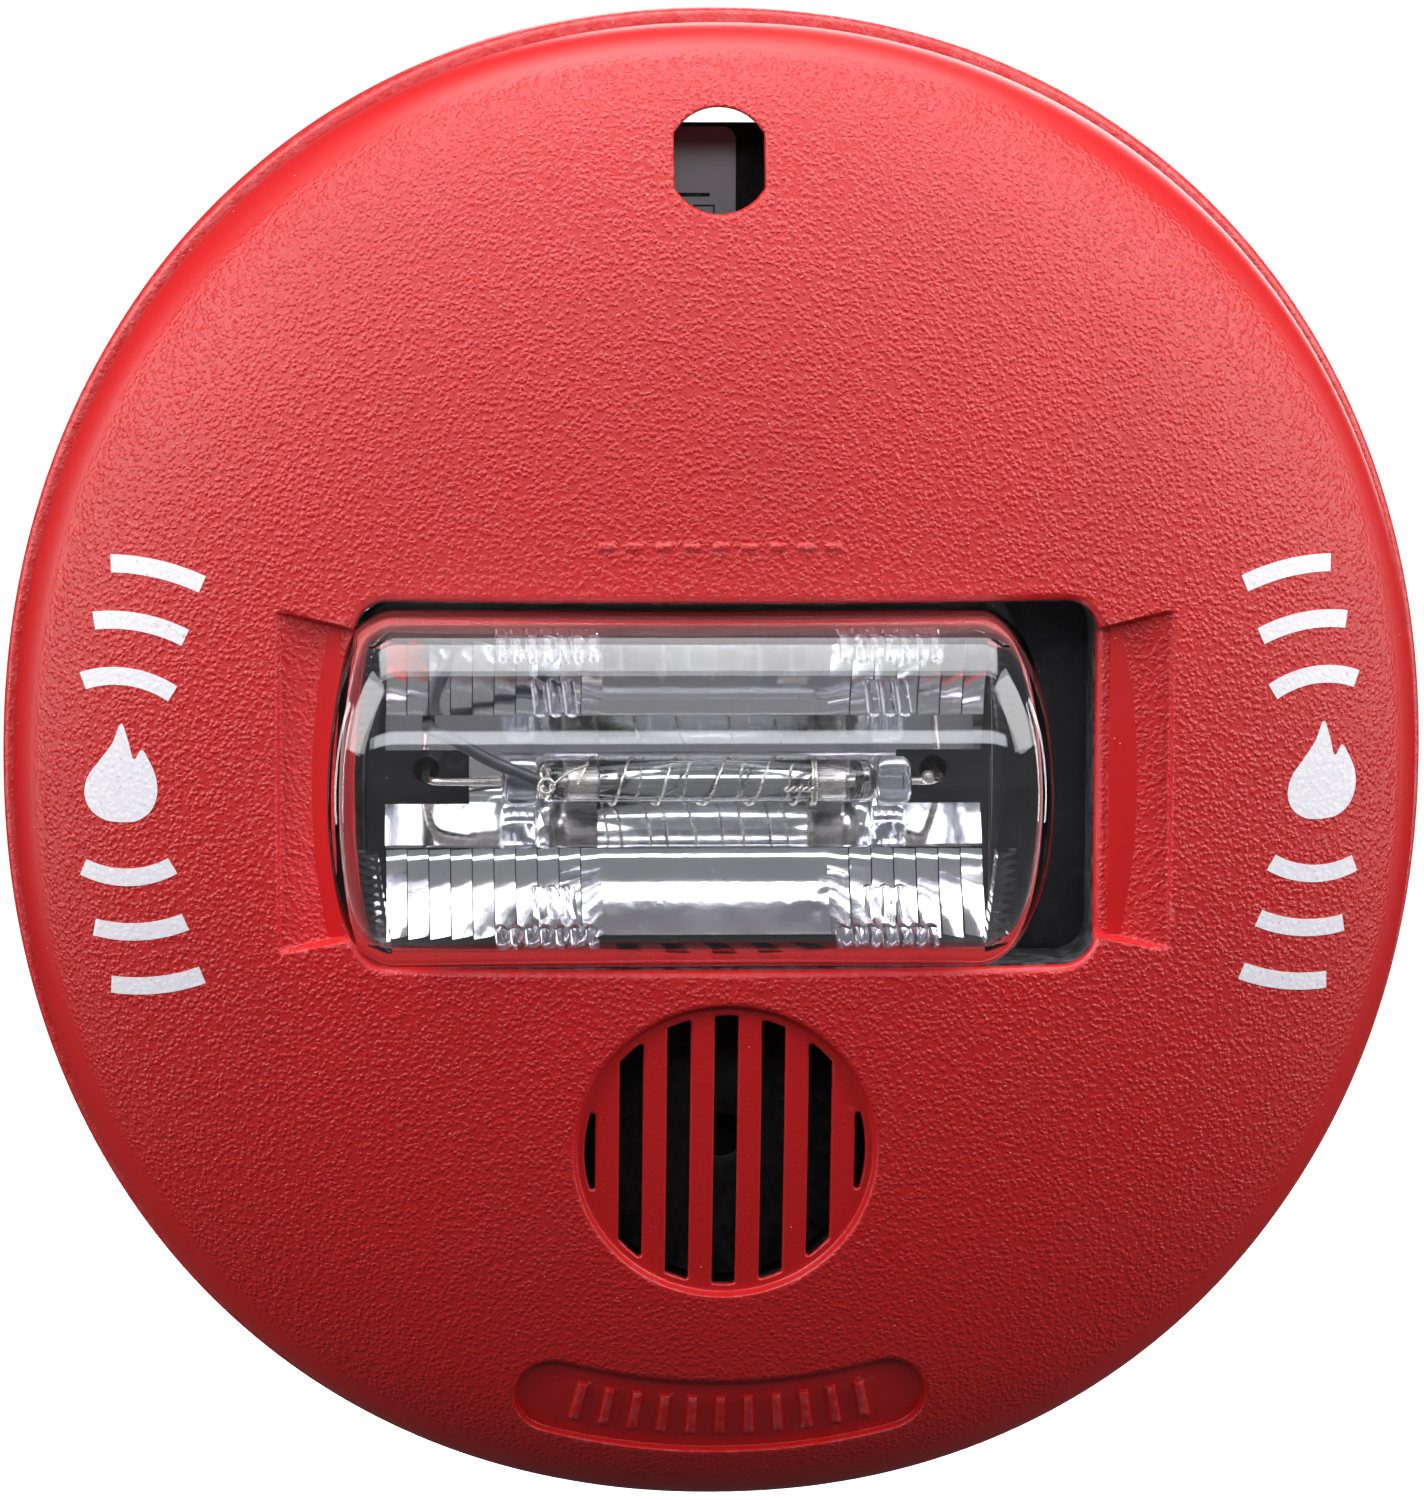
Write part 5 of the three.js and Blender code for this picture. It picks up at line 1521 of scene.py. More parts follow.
@dataclass
class MountingBase:
    """The red ring and plate on the wall: rolled edges, a wire opening, screw slots and two lips."""

    finish: Material
    oval: Oval = field(default_factory=Oval)
    ledge: float = 1.6
    depth: float = 12.0
    wall: float = 2.2
    floor: float = 2.5
    opening_radius: float = 36.0
    middle_y: float = 0.8
    slot_circle: float = 44.45
    slot_size: Pair = (12.0, 4.6)
    gang_y: float = 41.65
    sight: tuple[float, float, float, float] = (-9.0, 9.0, 73.98, 82.98)
    lip_offset: float = 11.0
    lip_width: float = 12.0
    lip_inner: float = 84.1
    lip_thick: float = 1.8
    width_share: float = 0.973

    def _holes(self) -> list[Outline]:
        """Draw every hole in the plate."""
        length, width = self.slot_size
        half_deg = math.degrees(length / 2 / self.slot_circle)
        left, right, low, high = self.sight
        holes = [Outline.circle(0, self.middle_y, self.opening_radius, 120)]
        holes += [Outline.bent_band(self.slot_circle, width, a, half_deg) for a in (45, 135, 225, 315)]
        holes += [Outline.rectangle(0, s * self.gang_y, length, width, width / 2 - 0.1) for s in (-1, 1)]
        holes.append(Outline.rectangle((left + right) / 2, (low + high) / 2, right - left, high - low, 0.5))
        return holes

    def _plate_face(self, shell: Shell, outer: Sequence[Place], z: float) -> list[list[int]]:
        """Lay one face of the plate, with its holes slightly widened at the edge.

        Args:
            shell: The shell that it goes in.
            outer: The row round the outside.
            z: The face's height.

        Returns:
            The indices of each loop, the outer one first.
        """
        holes = self._holes()
        loops = [np.array(outer)[:, :2], *(hole.at(0.25) for hole in holes)]
        points, faces = triangulate(np.zeros((0, 2)), loops)
        made = shell.add([(x, y, z) for x, y in points])
        middles = points[np.array(faces)].mean(1)
        solid = np.ones(len(faces), bool)
        for hole in holes:
            solid &= hole.distance(*middles.T) > 0.2
        shell.faces.extend(tuple(made[i] for i in face) for face, good in zip(faces, solid) if good)
        return shell.rows_of(loops, made[0])

    def build(self) -> Object:
        """Make the base."""
        shell = Shell()
        radius = self.oval.radius + self.ledge
        inner = radius - self.wall
        front = self._plate_face(shell, self.oval.row(inner - 0.4, 0), self.floor)
        back = self._plate_face(shell, self.oval.row(radius - 1.2, 0), 0.0)
        for near, far, hole in zip(front[1:], back[1:], self._holes()):
            upper = shell.add([(x, y, self.floor - 0.25) for x, y in hole.points])
            lower = shell.add([(x, y, 0.25) for x, y in hole.points])
            for a, b in ((near, upper), (upper, lower), (lower, far)):
                shell.bridge(a, b)
        section = [(radius - 0.7, 0.15), (radius - 0.2, 0.6), (radius, 1.3), (radius, self.depth - 1.3),
                   (radius - 0.12, self.depth - 0.7), (
                       radius - 0.45, self.depth - 0.25
                   ), (radius - 0.9, self.depth),
                   (inner + 0.25, self.depth), (inner, self.depth - 0.25), (inner, self.floor + 0.4),
                   (inner - 0.12, self.floor + 0.12)]
        rows = [shell.add(self.oval.row(r, z), 0.35) for r, z in section]
        for a, b in zip([back[0], *rows], [*rows, front[0]]):
            shell.bridge(a, b)
        for x in (-self.lip_offset, self.lip_offset):
            shell.merge(self._lip(x, inner))
        return shell.piece("base_shell", self.finish, Body.BASE, Slot.RED, ("mounting_base",), 40)

    def _bottom(self, x: float, reach: float, radius: float) -> float:
        """Give the y of an outline's bottom edge.

        Args:
            x: Where it is taken.
            reach: The mean radius that sets how far down it is.
            radius: The mean radius that sets how it bends.

        Returns:
            The y.
        """
        height = self.oval.half_height / self.oval.radius
        bend = (1 - (abs(x) / (radius * self.width_share)) ** self.oval.power) ** (1 / self.oval.power)
        return -reach * height * bend

    def _lip(self, x: float, inner: float) -> Shell:
        """Build one lip that a tongue hooks under.

        Args:
            x: Its middle.
            inner: The mean radius of the wall that it stands on.

        Returns:
            The lip's shell.
        """
        across = np.linspace(x - self.lip_width / 2, x + self.lip_width / 2, 13)
        foot = [self._bottom(a, inner + 0.3, inner) for a in across]
        edge = [self._bottom(a, self.lip_inner, self.lip_inner) for a in across]
        shell = Shell()
        low, high = self.depth - self.lip_thick, self.depth
        section = [[(a, f, low), (a, e, low), (a, e, high - 0.3), (a, e - 0.3, high), (a, f, high)]
                   for a, f, e in zip(across, foot, edge)]
        shell.rod(section)
        return shell


# ---------------------------------------------------------------- flash module


@dataclass
class FlashLens:
    """The clear D-shaped moulding with bulged ends, and the prism patches on its inside."""

    palette: Palette
    x: float = -4.9
    y: float = 0.8
    half_length: float = 38.6
    half_height: float = 21.0
    foot_z: float = 25.3
    shoulder_z: float = 42.0
    crown_z: float = 58.0
    wall: float = 1.8
    bulge: float = 3.4
    bulge_rise: float = 18.0
    edge: float = 4.4
    foot_width: float = 1.4
    foot_thick: float = 1.6
    optics_x: float = -1.4
    patch_offset: float = 19.85
    patch_width: float = 12.3
    tooth_count: int = 11
    tooth_start: float = 6.6
    tooth_pitch: float = 1.02
    tooth_width: float = 0.78
    tooth_depth: float = 1.9
    tooth_back: float = 2.3
    tooth_z: tuple[float, ...] = (45.6, 45.8, 48.4, 48.6)

    def _section(self, inset: float, steps: int = 52) -> np.ndarray:
        """Give the D-shaped section as (y, z) points from one foot over the crown to the other."""
        half, rise = self.half_height - inset, self.crown_z - self.shoulder_z - inset
        wall = [(-half, z) for z in np.linspace(self.foot_z, self.shoulder_z, 6)[:-1]]
        turns = np.linspace(math.pi, 0, steps)
        arch = [(half * math.cos(t), self.shoulder_z + rise * math.sin(t)) for t in turns]
        return np.array([*wall, *arch, *((-y, z) for y, z in wall[::-1])])

    def _skin(self, shell: Shell, inset: float) -> list[int]:
        """Build the outer or the inner skin.

        Args:
            shell: The shell that it goes in.
            inset: How far it is inside the outer skin.

        Returns:
            The indices round the open foot.
        """
        round_edge = self.edge - inset
        stations = [(0.0, turn) for turn in np.radians((0, 9, 18, 28, 38, 49, 60, 72, 82, 90))]
        stations += [(share, math.pi / 2) for share in (0.06, 0.14, 0.25, 0.38, 0.52, 0.66, 0.8, 0.92, 0.99)]
        sides = []
        for side in (-1, 1):
            part = []
            for share, turn in stations:
                shrink = round_edge * (1 - math.cos(turn))
                section = self._section(inset + shrink)
                y, z = section[:, 0] * (1 - share), self.foot_z + (section[:, 1] - self.foot_z) * (1 - share)
                swell = self.bulge * (1 - (y / self.half_height) ** 2) * np.clip(
                    (z - self.foot_z) / self.bulge_rise, 0, 1
                )
                out = self.half_length - inset - round_edge * (
                    1 - math.sin(turn)
                ) + swell * math.sin(turn) ** 2
                part.append([(self.x + side * c, self.y + a, b) for a, b, c in zip(y, z, out)])
            sides.append(part)
        made = shell.loft([*sides[0][::-1], *sides[1]], closed=False)
        return [row[0] for row in made] + [row[-1] for row in made[::-1]]

    def _body(self) -> None:
        """Make the clear body."""
        shell = Shell()
        outer = self._skin(shell, 0.0)
        inner = self._skin(shell, self.wall)
        shell.bridge(outer, inner)
        shell.piece("lens_body", self.palette.lens, Body.HEAD, Slot.LENS, ("strobe_lens",), 50)

    def _foot(self) -> None:
        """Make the flange that the lens stands on."""
        shell = Shell()
        inner = Outline.rectangle(
            self.x, self.y, 2 * self.half_length + 0.12, 2 * self.half_height + 0.12, self.edge
        )
        outer = inner.at(self.foot_width)
        top = self.foot_z + self.foot_thick
        rows = [[(*p, self.foot_z) for p in inner.points], [(*p, self.foot_z) for p in outer],
                [(*p, top - 0.3) for p in outer], [(*p, top) for p in inner.at(self.foot_width - 0.3)],
                [(*p, top) for p in inner.points]]
        shell.hoop(rows)
        shell.piece("lens_foot", self.palette.lens, Body.HEAD, Slot.LENS)

    def _ribbed(self, name: str, x: float, profile: np.ndarray, ribs: int, pitch: float, side: int) -> None:
        """Make one ribbed patch that follows the inside of the lens.

        Args:
            name: The piece's name.
            x: Its middle.
            profile: Its section as (distance from the middle line, z) points.
            ribs: How many ribs it has.
            pitch: The distance between two ribs.
            side: Above the middle line at 1, below at -1.
        """
        shell = Shell()
        middle = profile.mean(0)
        rows = []
        for k in range(ribs):
            start = x + (k - ribs / 2) * pitch
            for share, size in ((0.06, 0.8), (0.2, 0.95), (0.42, 1.0), (0.68, 0.96), (0.88, 0.84)):
                scaled = middle + (profile - middle) * size
                lean = (scaled[:, 0] - middle[0]) * 0.12 * side
                rows.append(
                    [(start + share * pitch - d, self.y + side * a, b) for (a, b), d in zip(scaled, lean)]
                )
        shell.rod(rows)
        shell.piece(name, self.palette.prism, Body.HEAD, Slot.LENS, crease_deg=28)

    def _teeth(self, name: str, end: int, side: int) -> None:
        """Make one strip of saw teeth inside an end of the lens.

        Args:
            name: The piece's name.
            end: The left end at -1, the right one at 1.
            side: Above the middle line at 1, below at -1.
        """
        shell = Shell()
        back, row = [], []
        for k in range(self.tooth_count):
            y = self.tooth_start + k * self.tooth_pitch
            reach = self.half_length - self.wall - 0.5 + 2.2 * max(0.0, 1 - (y / 19.0) ** 2)
            root = self.x + end * (reach - self.tooth_back)
            row += [
                (self.x + end * reach, y), (self.x + end * (reach - self.tooth_depth), y + self.tooth_width)
            ]
            back += [(root, y), (root, y + self.tooth_width)]
        loop = row + back[::-1]
        rows = [[(a, self.y + side * b, z) for a, b in loop] for z in self.tooth_z]
        shell.rod(rows)
        shell.piece(name, self.palette.prism, Body.HEAD, Slot.LENS, crease_deg=20)

    def build(self) -> None:
        """Make the lens and everything moulded on it."""
        self._body()
        self._foot()
        large = np.array([(18.95, 39.0), (17.5, 39.0), (17.5, 45.6), (15.0, 46.6),
                          (15.0, 48.9), (16.4, 48.3), (17.7, 47.0), (18.6, 45.0)])
        small = np.array([(9.6, 51.8), (9.6, 53.4), (11.4, 52.6), (13.6, 51.3), (13.6, 49.6), (11.4, 50.9)])
        for end, word in ((-1, "left"), (1, "right")):
            for side, where in ((1, "upper"), (-1, "lower")):
                x = self.optics_x + end * self.patch_offset
                self._ribbed(f"lens_prism_{where}_{word}", x, large, 7, self.patch_width / 7, side)
                self._ribbed(f"lens_pad_{where}_{word}", x - end * 0.6, small, 3, 1.8, side)
                self._teeth(f"lens_teeth_{where}_{word}", end, side)


@dataclass
class Reflector:
    """The metallised mirror: a smooth middle and two runs of facets, open at both ends for the leads."""

    finish: Material
    x: float = -1.4
    y: float = 0.8
    ends: Pair = (-40.2, 30.4)
    centre_length: float = 26.6
    pitch: float = 2.6
    tube_z: float = 36.0
    rim_z: float = 44.4
    trough_half: float = 3.2
    panel_half: float = 7.9
    side_half: float = 16.8
    step: float = 0.55
    facet_span: Pair = (0.0, 0.95)
    thick: float = 0.9
    slot_length: float = 10.0

    def _side(self, count: int = 14) -> list[Pair]:
        """Give the curved flank as (y, z) points from the panel out to the rim."""
        start, low = self.panel_half, self.tube_z + 0.6
        return [
            (
                start + (self.side_half - start) * t, low + (self.rim_z - low) * t**1.55
            ) for t in np.linspace(0, 1, count)
        ]

    def _panel(self) -> list[Pair]:
        """Give the trough and the flat panel as (y, z) points from the middle out."""
        deep = self.tube_z - 5.3
        return [(0.0, deep), (1.2, deep + 0.12), (2.3, deep + 0.5), (self.trough_half, deep + 1.1),
                (self.panel_half - 0.3, self.tube_z - 1.0), (self.panel_half, self.tube_z - 0.6)]

    def _strip(
        self, shell: Shell, stations: Sequence[float], lines: Sequence[Sequence[Pair]], side: int
    ) -> None:
        """Add one strip with its thickness.

        Args:
            shell: The shell that it goes in.
            stations: Its places along x.
            lines: Its upper face at each of them, as (y, z) points.
            side: Above the middle line at 1, below at -1.
        """
        rows = []
        for x, line in zip(stations, lines):
            upper = [(x, self.y + side * a, b) for a, b in line]
            rows.append([*upper, *((px, py, pz - self.thick) for px, py, pz in upper[::-1])])
        shell.rod(rows)

    def _facet(self, turned: float) -> list[Pair]:
        """Give the flank of a facet, turned outward by a share of the step."""
        side = self._side()
        shares = np.linspace(0.15, 1, len(side))
        return [
            (a + self.step * turned * t, b - 0.5 * self.step * turned * t) for (a, b), t in zip(side, shares)
        ]

    def build(self) -> Object:
        """Make the mirror."""
        shell = Shell()
        low, high = self.x - self.centre_length / 2, self.x + self.centre_length / 2
        panel, flank = self._panel(), self._side()
        for side in (-1, 1):
            self._strip(shell, (low, high), (panel + flank, panel + flank), side)
            for start, end in ((low, self.ends[0]), (high, self.ends[1])):
                inner = end - math.copysign(self.slot_length, end - start)
                self._strip(shell, (start, inner), (panel, panel), side)
                self._strip(shell, (inner, end), (panel[3:], panel[3:]), side)
                count = round(abs(end - start) / self.pitch)
                places = np.linspace(start, end, count + 1)
                for a, b in zip(places, places[1:]):
                    bowed = [
                        (
                            a + (b - a) * t, self._facet(t + 0.35 * t * (1 - t))
                        ) for t in np.linspace(*self.facet_span, 5)
                    ]
                    self._strip(shell, [x for x, _ in bowed], [line for _, line in bowed], side)
        return shell.piece("mirror_shell", self.finish, Body.HEAD, Slot.MIRROR, ("reflector",), 24)


@dataclass
class FlashTube:
    """The glass tube with its electrodes, end caps, lead wires, trigger winding and trigger lead."""

    palette: Palette
    x: float = -2.3
    y: float = 0.8
    z: float = 36.0
    radius: float = 2.5
    wall: float = 0.55
    length: float = 40.0
    cap_length: float = 4.0
    lead_radius: float = 0.45
    wire_radius: float = 0.17
    turns: int = 5
    pitch: float = 5.4
    board_z: float = 16.5
    drop_left: float = -35.2
    drop_right: float = 25.4
    lead_place: Pair = (-34.9, 7.2)

    def _glass(self) -> None:
        """Make the tube, with a closed bore."""
        end, r, bore = self.length / 2, self.radius, self.radius - self.wall
        outside = [(0.0, -end + 0.3), (1.2, -end + 0.05), (2.0, -end + 0.35), (r, -end + 1.1), (r, end - 1.1),
                   (2.0, end - 0.35), (1.2, end - 0.05), (0.0, end - 0.3)]
        inside = [(0.0, end - 1.6), (bore * 0.7, end - 1.9), (bore, end - 2.8), (bore, -end + 2.8),
                  (bore * 0.7, -end + 1.9), (0.0, -end + 1.6)]
        shell = lathe_along_x([(a, self.x + b) for a, b in outside], self.y, self.z, 56)
        shell.merge(lathe_along_x([(a, self.x + b) for a, b in inside], self.y, self.z, 56))
        shell.piece("tube_glass_body", self.palette.glass, Body.HEAD, Slot.TUBE, ("flash_tube",), 50)

    def _electrodes(self) -> None:
        """Make the metal ends inside the tube."""
        for side, word in ((-1, "left"), (1, "right")):
            end = self.x + side * self.length / 2
            profile = [(0.35, end - side * 2.9), (0.35, end - side * 3.6), (1.45, end - side * 3.7),
                       (1.6, end - side * 3.9), (1.6, end - side * 7.2), (
                           1.35, end - side * 7.5
                       ), (0.3, end - side * 7.5)]
            lathe_along_x(profile, self.y, self.z, 32).piece(
                f"electrode_{word}", self.palette.nickel, Body.HEAD, Slot.LEAD)

    def _caps(self) -> None:
        """Make the soft clear caps on the tube's ends."""
        for side, word in ((-1, "left"), (1, "right")):
            near = self.x + side * (self.length / 2 + 0.1)
            far = near + side * self.cap_length
            r = self.radius + 0.4
            profile = [(0.0, near), (r - 0.15, near), (r, near + side * 0.2), (r, far - side * 1.0),
                       (r - 0.3, far - side * 0.4), (r - 0.9, far - side * 0.08), (
                           self.lead_radius + 0.15, far
                       ), (0.0, far)]
            lathe_along_x(profile, self.y, self.z, 48).piece(
                f"end_cap_{word}", self.palette.silicone, Body.HEAD, Slot.SLEEVE, (f"tube_sleeve_{word}",))

    def _leads(self) -> None:
        """Make the bare leads that go down to the board, with a solder bead on the right one."""
        for side, word, drop in ((-1, "left", self.drop_left), (1, "right", self.drop_right)):
            start = self.x + side * (self.length / 2 + self.cap_length + 0.25)
            run = drop - start
            knots = [(start, self.y, self.z), (start + run * 0.55, self.y, self.z + 0.1),
                     (drop - side * 0.9, self.y, self.z - 0.5), (drop, self.y, self.z - 2.6),
                     (drop, self.y, self.z - 10), (drop, self.y, self.board_z + 0.2)]
            shell = wire(smooth_path(knots, 8), self.lead_radius, 16)
            if side > 0:
                bead = [(0.0, self.z + 0.2), (0.6, self.z + 0.35), (0.85, self.z + 0.9),
                        (0.6, self.z + 1.45), (0.0, self.z + 1.6)]
                shell.merge(lathe(bead, drop - 1.6, self.y + 0.5, 24))
            shell.piece(
                f"lead_wire_{word}", self.palette.nickel, Body.HEAD, Slot.LEAD, (f"tube_lead_{word}",)
            )

    def _winding(self) -> None:
        """Make the thin wire wound round the tube, closed by a ring and a twist."""
        radius = self.radius + 0.12 + self.wire_radius
        start = self.x - self.turns * self.pitch / 2 - 2.0
        path = []
        for t in np.linspace(0, 1, self.turns * 40):
            turn = 2 * math.pi * self.turns * t
            wobble = 0.35 * math.sin(9.1 * t + 1.0) + 0.2 * math.sin(23.0 * t)
            path.append(
                (
                    start + self.pitch * self.turns * t + wobble,
                    self.y + radius * math.sin(turn),
                    self.z + radius * math.cos(turn),
                )
            )
        shell = wire(np.array(path), self.wire_radius, 10)
        ring_x = start + self.pitch * self.turns + 0.9
        turns = np.linspace(0, 2 * math.pi * 1.02, 50)
        for shift in (0.0, 0.36):
            loop = [
                (ring_x + shift, self.y + radius * math.sin(t), self.z + radius * math.cos(t)) for t in turns
            ]
            shell.merge(wire(np.array(loop), self.wire_radius, 10))
        for phase in (0, math.pi):
            twist = [(ring_x - 3.4 + 3.4 * t, self.y - 0.6 + 0.24 * math.sin(14 * t + phase),
                      self.z + radius + 0.12 + 0.24 * math.cos(
                          14 * t + phase
                      )) for t in np.linspace(0, 1, 50)]
            shell.merge(wire(np.array(twist), self.wire_radius * 0.9, 10))
        shell.piece("winding_wire", self.palette.nickel, Body.HEAD, Slot.LEAD, ("trigger_wire",))

    def _trigger(self) -> None:
        """Make the black lead that loops over to the tube, and the twisted joint at its end."""
        x, y = self.lead_place
        joint = (self.x - self.length / 2 + 0.7, self.y + 0.4, self.z + self.radius + 1.15)
        knots = [(x, y, self.board_z), (x, y, self.z - 4), (x - 0.1, y + 0.1, self.z + 1.5),
                 (x + 0.6, y + 0.1, self.z + 4.4), (x + 2.6, y - 0.7, self.z + 5.6),
                 (x + 7, y - 3.2, self.z + 5.2), joint]
        wire(smooth_path(knots, 10), 0.75, 20).piece(
            "trigger_cable", self.palette.insulation, Body.HEAD, Slot.INSULATION, ("trigger_lead",)
        )
        shell = Shell()
        jx, jy, jz = joint
        for phase in (0.0, 2.1, 4.2):
            knot = [(jx + 0.2 + 0.55 * math.sin(3 * t + phase),
                     jy + 1.6 - 3.4 * t + 0.2 * math.cos(9 * t + phase),
                     jz + 0.25 + 0.5 * math.cos(6.0 * t + phase)) for t in np.linspace(0, 1, 40)]
            shell.merge(wire(np.array(knot), 0.2, 10))
        turns = np.linspace(0, 2 * math.pi * 1.6, 60)
        coil = [
            (
                jx + 0.3 + 0.85 * math.cos(t), jy - 0.3 + 0.85 * math.sin(t), jz + 0.75 + 0.05 * t
            ) for t in turns
        ]
        shell.merge(wire(np.array(coil), 0.22, 12))
        tail = [
            (jx + 0.9, jy - 0.4, jz + 0.5), (jx + 3.0, jy + 1.2, jz + 0.2), (jx + 5.2, jy + 2.0, jz - 0.6)
        ]
        shell.merge(wire(smooth_path(tail, 10), self.wire_radius, 10))
        shell.piece("trigger_joint", self.palette.nickel, Body.HEAD, Slot.LEAD)

    def build(self) -> None:
        """Make everything on the tube."""
        self._glass()
        self._electrodes()
        self._caps()
        self._leads()
        self._winding()
        self._trigger()


@dataclass
class LabelPrint:
    """Plain dark print on the board's paper label: two rules and a small square of blocks."""

    finish: Material
    z: float = 16.46
    thick: float = 0.03
    bars: tuple[tuple[float, float, float, float], ...] = (
        (-8.0, 69.0, 13.6, 0.45), (-9.5, 73.6, 8.0, 0.3), (-1.9, 67.7, 2.6, 0.22), (-1.9, 65.3, 2.6, 0.22),
        (-3.1, 66.5, 0.22, 2.4), (-0.7, 66.5, 0.22, 2.4), (-2.3, 66.9, 0.7, 0.5), (-1.5, 66.1, 0.6, 0.6))

    def build(self) -> Object:
        """Make the print."""
        shell = Shell()
        for x, y, width, height in self.bars:
            loop = Outline.rectangle(x, y, width, height, 0.05, 4.0).points
            rows = shell.loft([[(*p, self.z) for p in loop], [(*p, self.z + self.thick) for p in loop]])
            shell.cap(rows[0][::-1])
            shell.cap(rows[1])
        return shell.piece("label_print", self.finish, Body.HEAD, Slot.BLACK)


# ---------------------------------------------------------------- camera, floor and light


@dataclass(frozen=True)
class Studio:
    """The camera, the pale floor and the soft lights."""

    azimuth_deg: float = -3.0
    elevation_deg: float = 7.5
    roll_deg: float = 0.25
    distance_mm: float = 800.0
    lens_mm: float = 167.85
    shift: Pair = (-0.0048, 0.0142)
    floor_z_mm: float = -330.0
    floor_reach: float = 150.0
    ambient: float = 0.07
    floor_glow: float = 1.05
    tent: float = 0.2
    bounce: float = 0.035
    sensor_mm: float = 36.0
    clip: Pair = (0.05, 400.0)
    aim: Place = (0.0, -0.020, 0.0)
    lights: tuple[tuple[str, Place, Pair, float, Colour], ...] = (
        ("softbox_left", (-0.78, -0.5, 0.66), (0.55, 0.8), 8.0, (1.0, 0.99, 0.99)),
        ("softbox_right", (0.78, -0.5, 0.66), (0.55, 0.8), 8.0, (1.0, 0.99, 0.99)),
        ("softbox_top", (0.0, -0.1, 1.0), (1.0, 0.6), 10.0, (0.99, 0.99, 1.0)),
        ("strip_left", (-0.95, -0.05, 0.14), (0.12, 0.8), 3.6, (1.0, 0.98, 0.98)),
        ("strip_right", (0.95, -0.05, 0.14), (0.12, 0.8), 3.6, (1.0, 0.98, 0.98)),
        ("strip_front", (0.0, -1.14, 0.57), (1.6, 0.15), 4.4, (0.93, 0.95, 1.0)),
        ("back_fill", (0.35, 1.3, 0.45), (0.9, 0.9), 9.0, (1.0, 1.0, 1.0)),
    )

    def _light(self, name: str, place: Place, size: Pair, power: float, colour: Colour) -> None:
        """Hang one soft light that faces the object.

        Args:
            name: The light's name.
            place: Where it is, in row-frame metres.
            size: Its width and height in metres.
            power: Its power in watts.
            colour: Its colour.
        """
        data = bpy.data.lights.new(name, "AREA")
        data.shape, data.size, data.size_y = "RECTANGLE", *size
        data.energy, data.color = power, colour
        light = bpy.data.objects.new(name, data)
        light.location = place
        light.rotation_euler = Vector(place).to_track_quat("Z", "Y").to_euler()
        bpy.context.scene.collection.objects.link(light)

    def _camera(self) -> None:
        """Place the camera."""
        data = bpy.data.cameras.new("camera")
        data.sensor_fit, data.sensor_width, data.lens = "HORIZONTAL", self.sensor_mm, self.lens_mm
        data.shift_x, data.shift_y = self.shift
        data.clip_start, data.clip_end = self.clip
        camera = bpy.data.objects.new("camera", data)
        azimuth, elevation = math.radians(self.azimuth_deg), math.radians(self.elevation_deg)
        level = math.cos(elevation)
        out = Vector((math.sin(azimuth) * level, -math.cos(azimuth) * level, math.sin(elevation)))
        camera.location = Vector(self.aim) + out * self.distance_mm * MILLIMETRE
        camera.rotation_euler = (-out).to_track_quat("-Z", "Y").to_euler()
        camera.rotation_euler.rotate_axis("Z", math.radians(self.roll_deg))
        bpy.context.scene.collection.objects.link(camera)
        bpy.context.scene.camera = camera

    @staticmethod
    def _mirrored(graph: Graph, strength: float) -> Socket:
        """Give a strength that counts only for light that leaves a mirror behind clear plastic.

        Args:
            graph: The graph that it goes in.
            strength: The strength there.

        Returns:
            The strength's socket.
        """
        path = graph.node("LightPath")
        both = graph.times(path.outputs["Glossy Depth"], path.outputs["Transmission Depth"], clamp=True)
        return graph.times(both, strength)

    def _floor(self) -> None:
        """Lay the pale floor."""
        material, graph, shader, place = begin("pale_floor")
        tone = graph.noise(place, 3.0, 2.0)
        pale = graph.mix(tone, (0.93, 0.93, 0.93), (0.96, 0.96, 0.96))
        seen = graph.node("LightPath").outputs["Is Camera Ray"]
        graph.put(shader.inputs["Base Color"], graph.mix(seen, (self.bounce,) * 3, pale))
        graph.put(shader.inputs["Roughness"], 0.9)
        shader.inputs["Emission Color"].default_value = (1.0, 1.0, 1.0, 1.0)
        glow = graph.times(seen, self.floor_glow)
        graph.put(shader.inputs["Emission Strength"], graph.plus(glow, self._mirrored(graph, self.tent)))
        mesh = bpy.data.meshes.new("floor")
        z, reach = self.floor_z_mm * MILLIMETRE, self.floor_reach
        corners = [(-reach, -reach, z), (reach, -reach, z), (reach, reach, z), (-reach, reach, z)]
        mesh.from_pydata(corners, [], [(0, 1, 2, 3)])
        mesh.materials.append(material)
        floor = bpy.data.objects.new("floor", mesh)
        bpy.context.scene.collection.objects.link(floor)

    def build(self) -> None:
        """Set up the studio."""
        scene = bpy.context.scene
        scene.view_settings.view_transform = "Standard"
        world = bpy.data.worlds.new("studio")
        world.use_nodes = True
        graph = Graph(world.node_tree)
        sky = graph.node("Background")
        graph.put(sky.inputs["Strength"], graph.plus(self._mirrored(graph, self.tent), self.ambient))
        graph.put(graph.node("OutputWorld").inputs[0], sky.outputs[0])
        sky.inputs["Color"].default_value = (0.97, 0.98, 1.0, 1.0)
        scene.world = world
        self._camera()
        self._floor()
        for light in self.lights:
            self._light(*light)


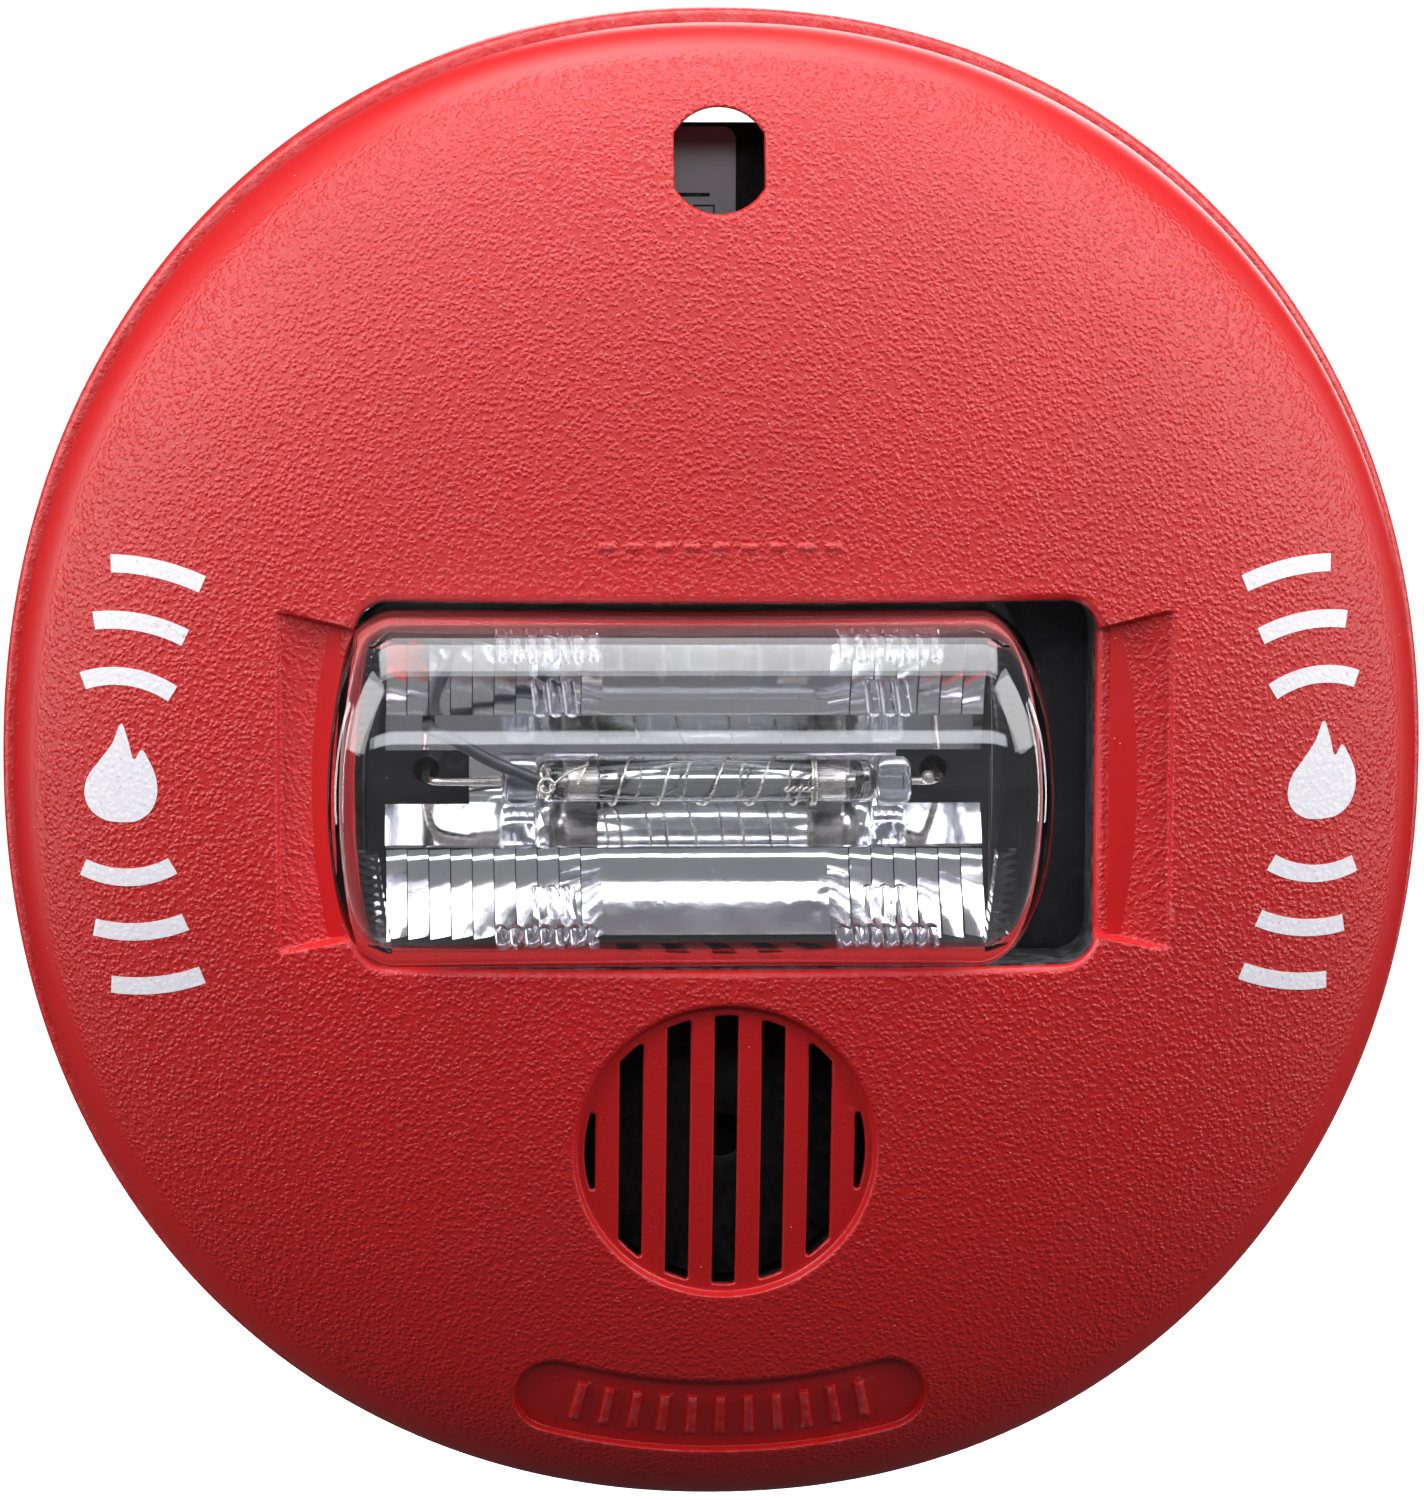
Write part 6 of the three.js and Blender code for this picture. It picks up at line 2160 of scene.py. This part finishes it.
@dataclass(frozen=True)
class Hardware:
    """The CAD pieces whose shape is right: they keep their meshes and get rounder edges and finishes."""

    palette: Palette
    edge_mm: float = 0.15

    def _pieces(self) -> dict[str, Material]:
        """List each piece with its finish."""
        p = self.palette
        named = {
            "release_latch": p.black, "chassis": p.black, "strobe_tray": p.black, "horn_cup": p.black,
            "horn_throat_ring": p.black, "candela_switch_body": p.black, "trigger_transformer": p.component,
            "inductor_core": p.component, "control_chip": p.component, "bridge_rectifier": p.component,
            "switching_transistor": p.component, "dip_switch_body": p.dip, "candela_slider": p.lever,
            "terminal_block": p.green, "circuit_board": p.board, "board_label": p.paper,
            # The diaphragm gets the near-black painted shade of the deep horn in place of its brass.
            "strobe_capacitor": p.sleeve, "inductor_winding": p.winding, "horn_diaphragm": p.horn_shade,
            "piezo_disc": p.ceramic, "horn_lead_red": p.lead_red, "horn_lead_black": p.insulation,
            "trigger_lead": p.insulation, "trigger_wire": p.nickel, "tube_lead_left": p.nickel,
            "tube_lead_right": p.nickel, "tube_sleeve_left": p.silicone, "tube_sleeve_right": p.silicone,
            "flash_tube": p.glass, "strobe_lens": p.lens, "reflector": p.mirror, "mounting_base": p.red,
            "front_cover": p.red,
        }
        named.update({f"dip_lever_{i}": p.lever for i in (1, 2, 3)})
        for i in (1, 2, 3, 4):
            named.update({f"cover_screw_{i}": p.steel, f"board_screw_{i}": p.steel,
                          f"terminal_screw_{i}": p.steel, f"wire_clamp_{i}": p.nickel})
        return named

    def build(self) -> None:
        """Dress every CAD piece."""
        for name, finish in self._pieces().items():
            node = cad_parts[name]
            node.data.materials.clear()
            node.data.materials.append(finish)
            if node.hide_render:
                continue
            weld = node.modifiers.new("weld", "WELD")
            weld.merge_threshold = 1e-6
            bevel = node.modifiers.new("round_edges", "BEVEL")
            bevel.width, bevel.segments = self.edge_mm * MILLIMETRE, 2
            bevel.limit_method, bevel.angle_limit = "ANGLE", math.radians(35)
            bevel.harden_normals = False
            for polygon in node.data.polygons:
                polygon.use_smooth = True
            node.modifiers.new("even_normals", "WEIGHTED_NORMAL").keep_sharp = True
            log.info("%s: dressed", name)


def main() -> None:
    """Build every sub-assembly in order and note the sizes."""
    logging.basicConfig(level=logging.INFO, format="%(message)s")
    Studio().build()
    palette = Palette()
    cover = FrontCover(palette.red)
    cover.build()
    # A black sheet on the window's wall: painted shade.
    cover.shade_sheet(palette.black)
    SideMarks(cover, palette.white).build()
    MountingBase(palette.red).build()
    FlashLens(palette).build()
    Reflector(palette.mirror).build()
    FlashTube(palette).build()
    LabelPrint(palette.black).build()
    Hardware(palette).build()


if __name__ == "__main__":
    main()
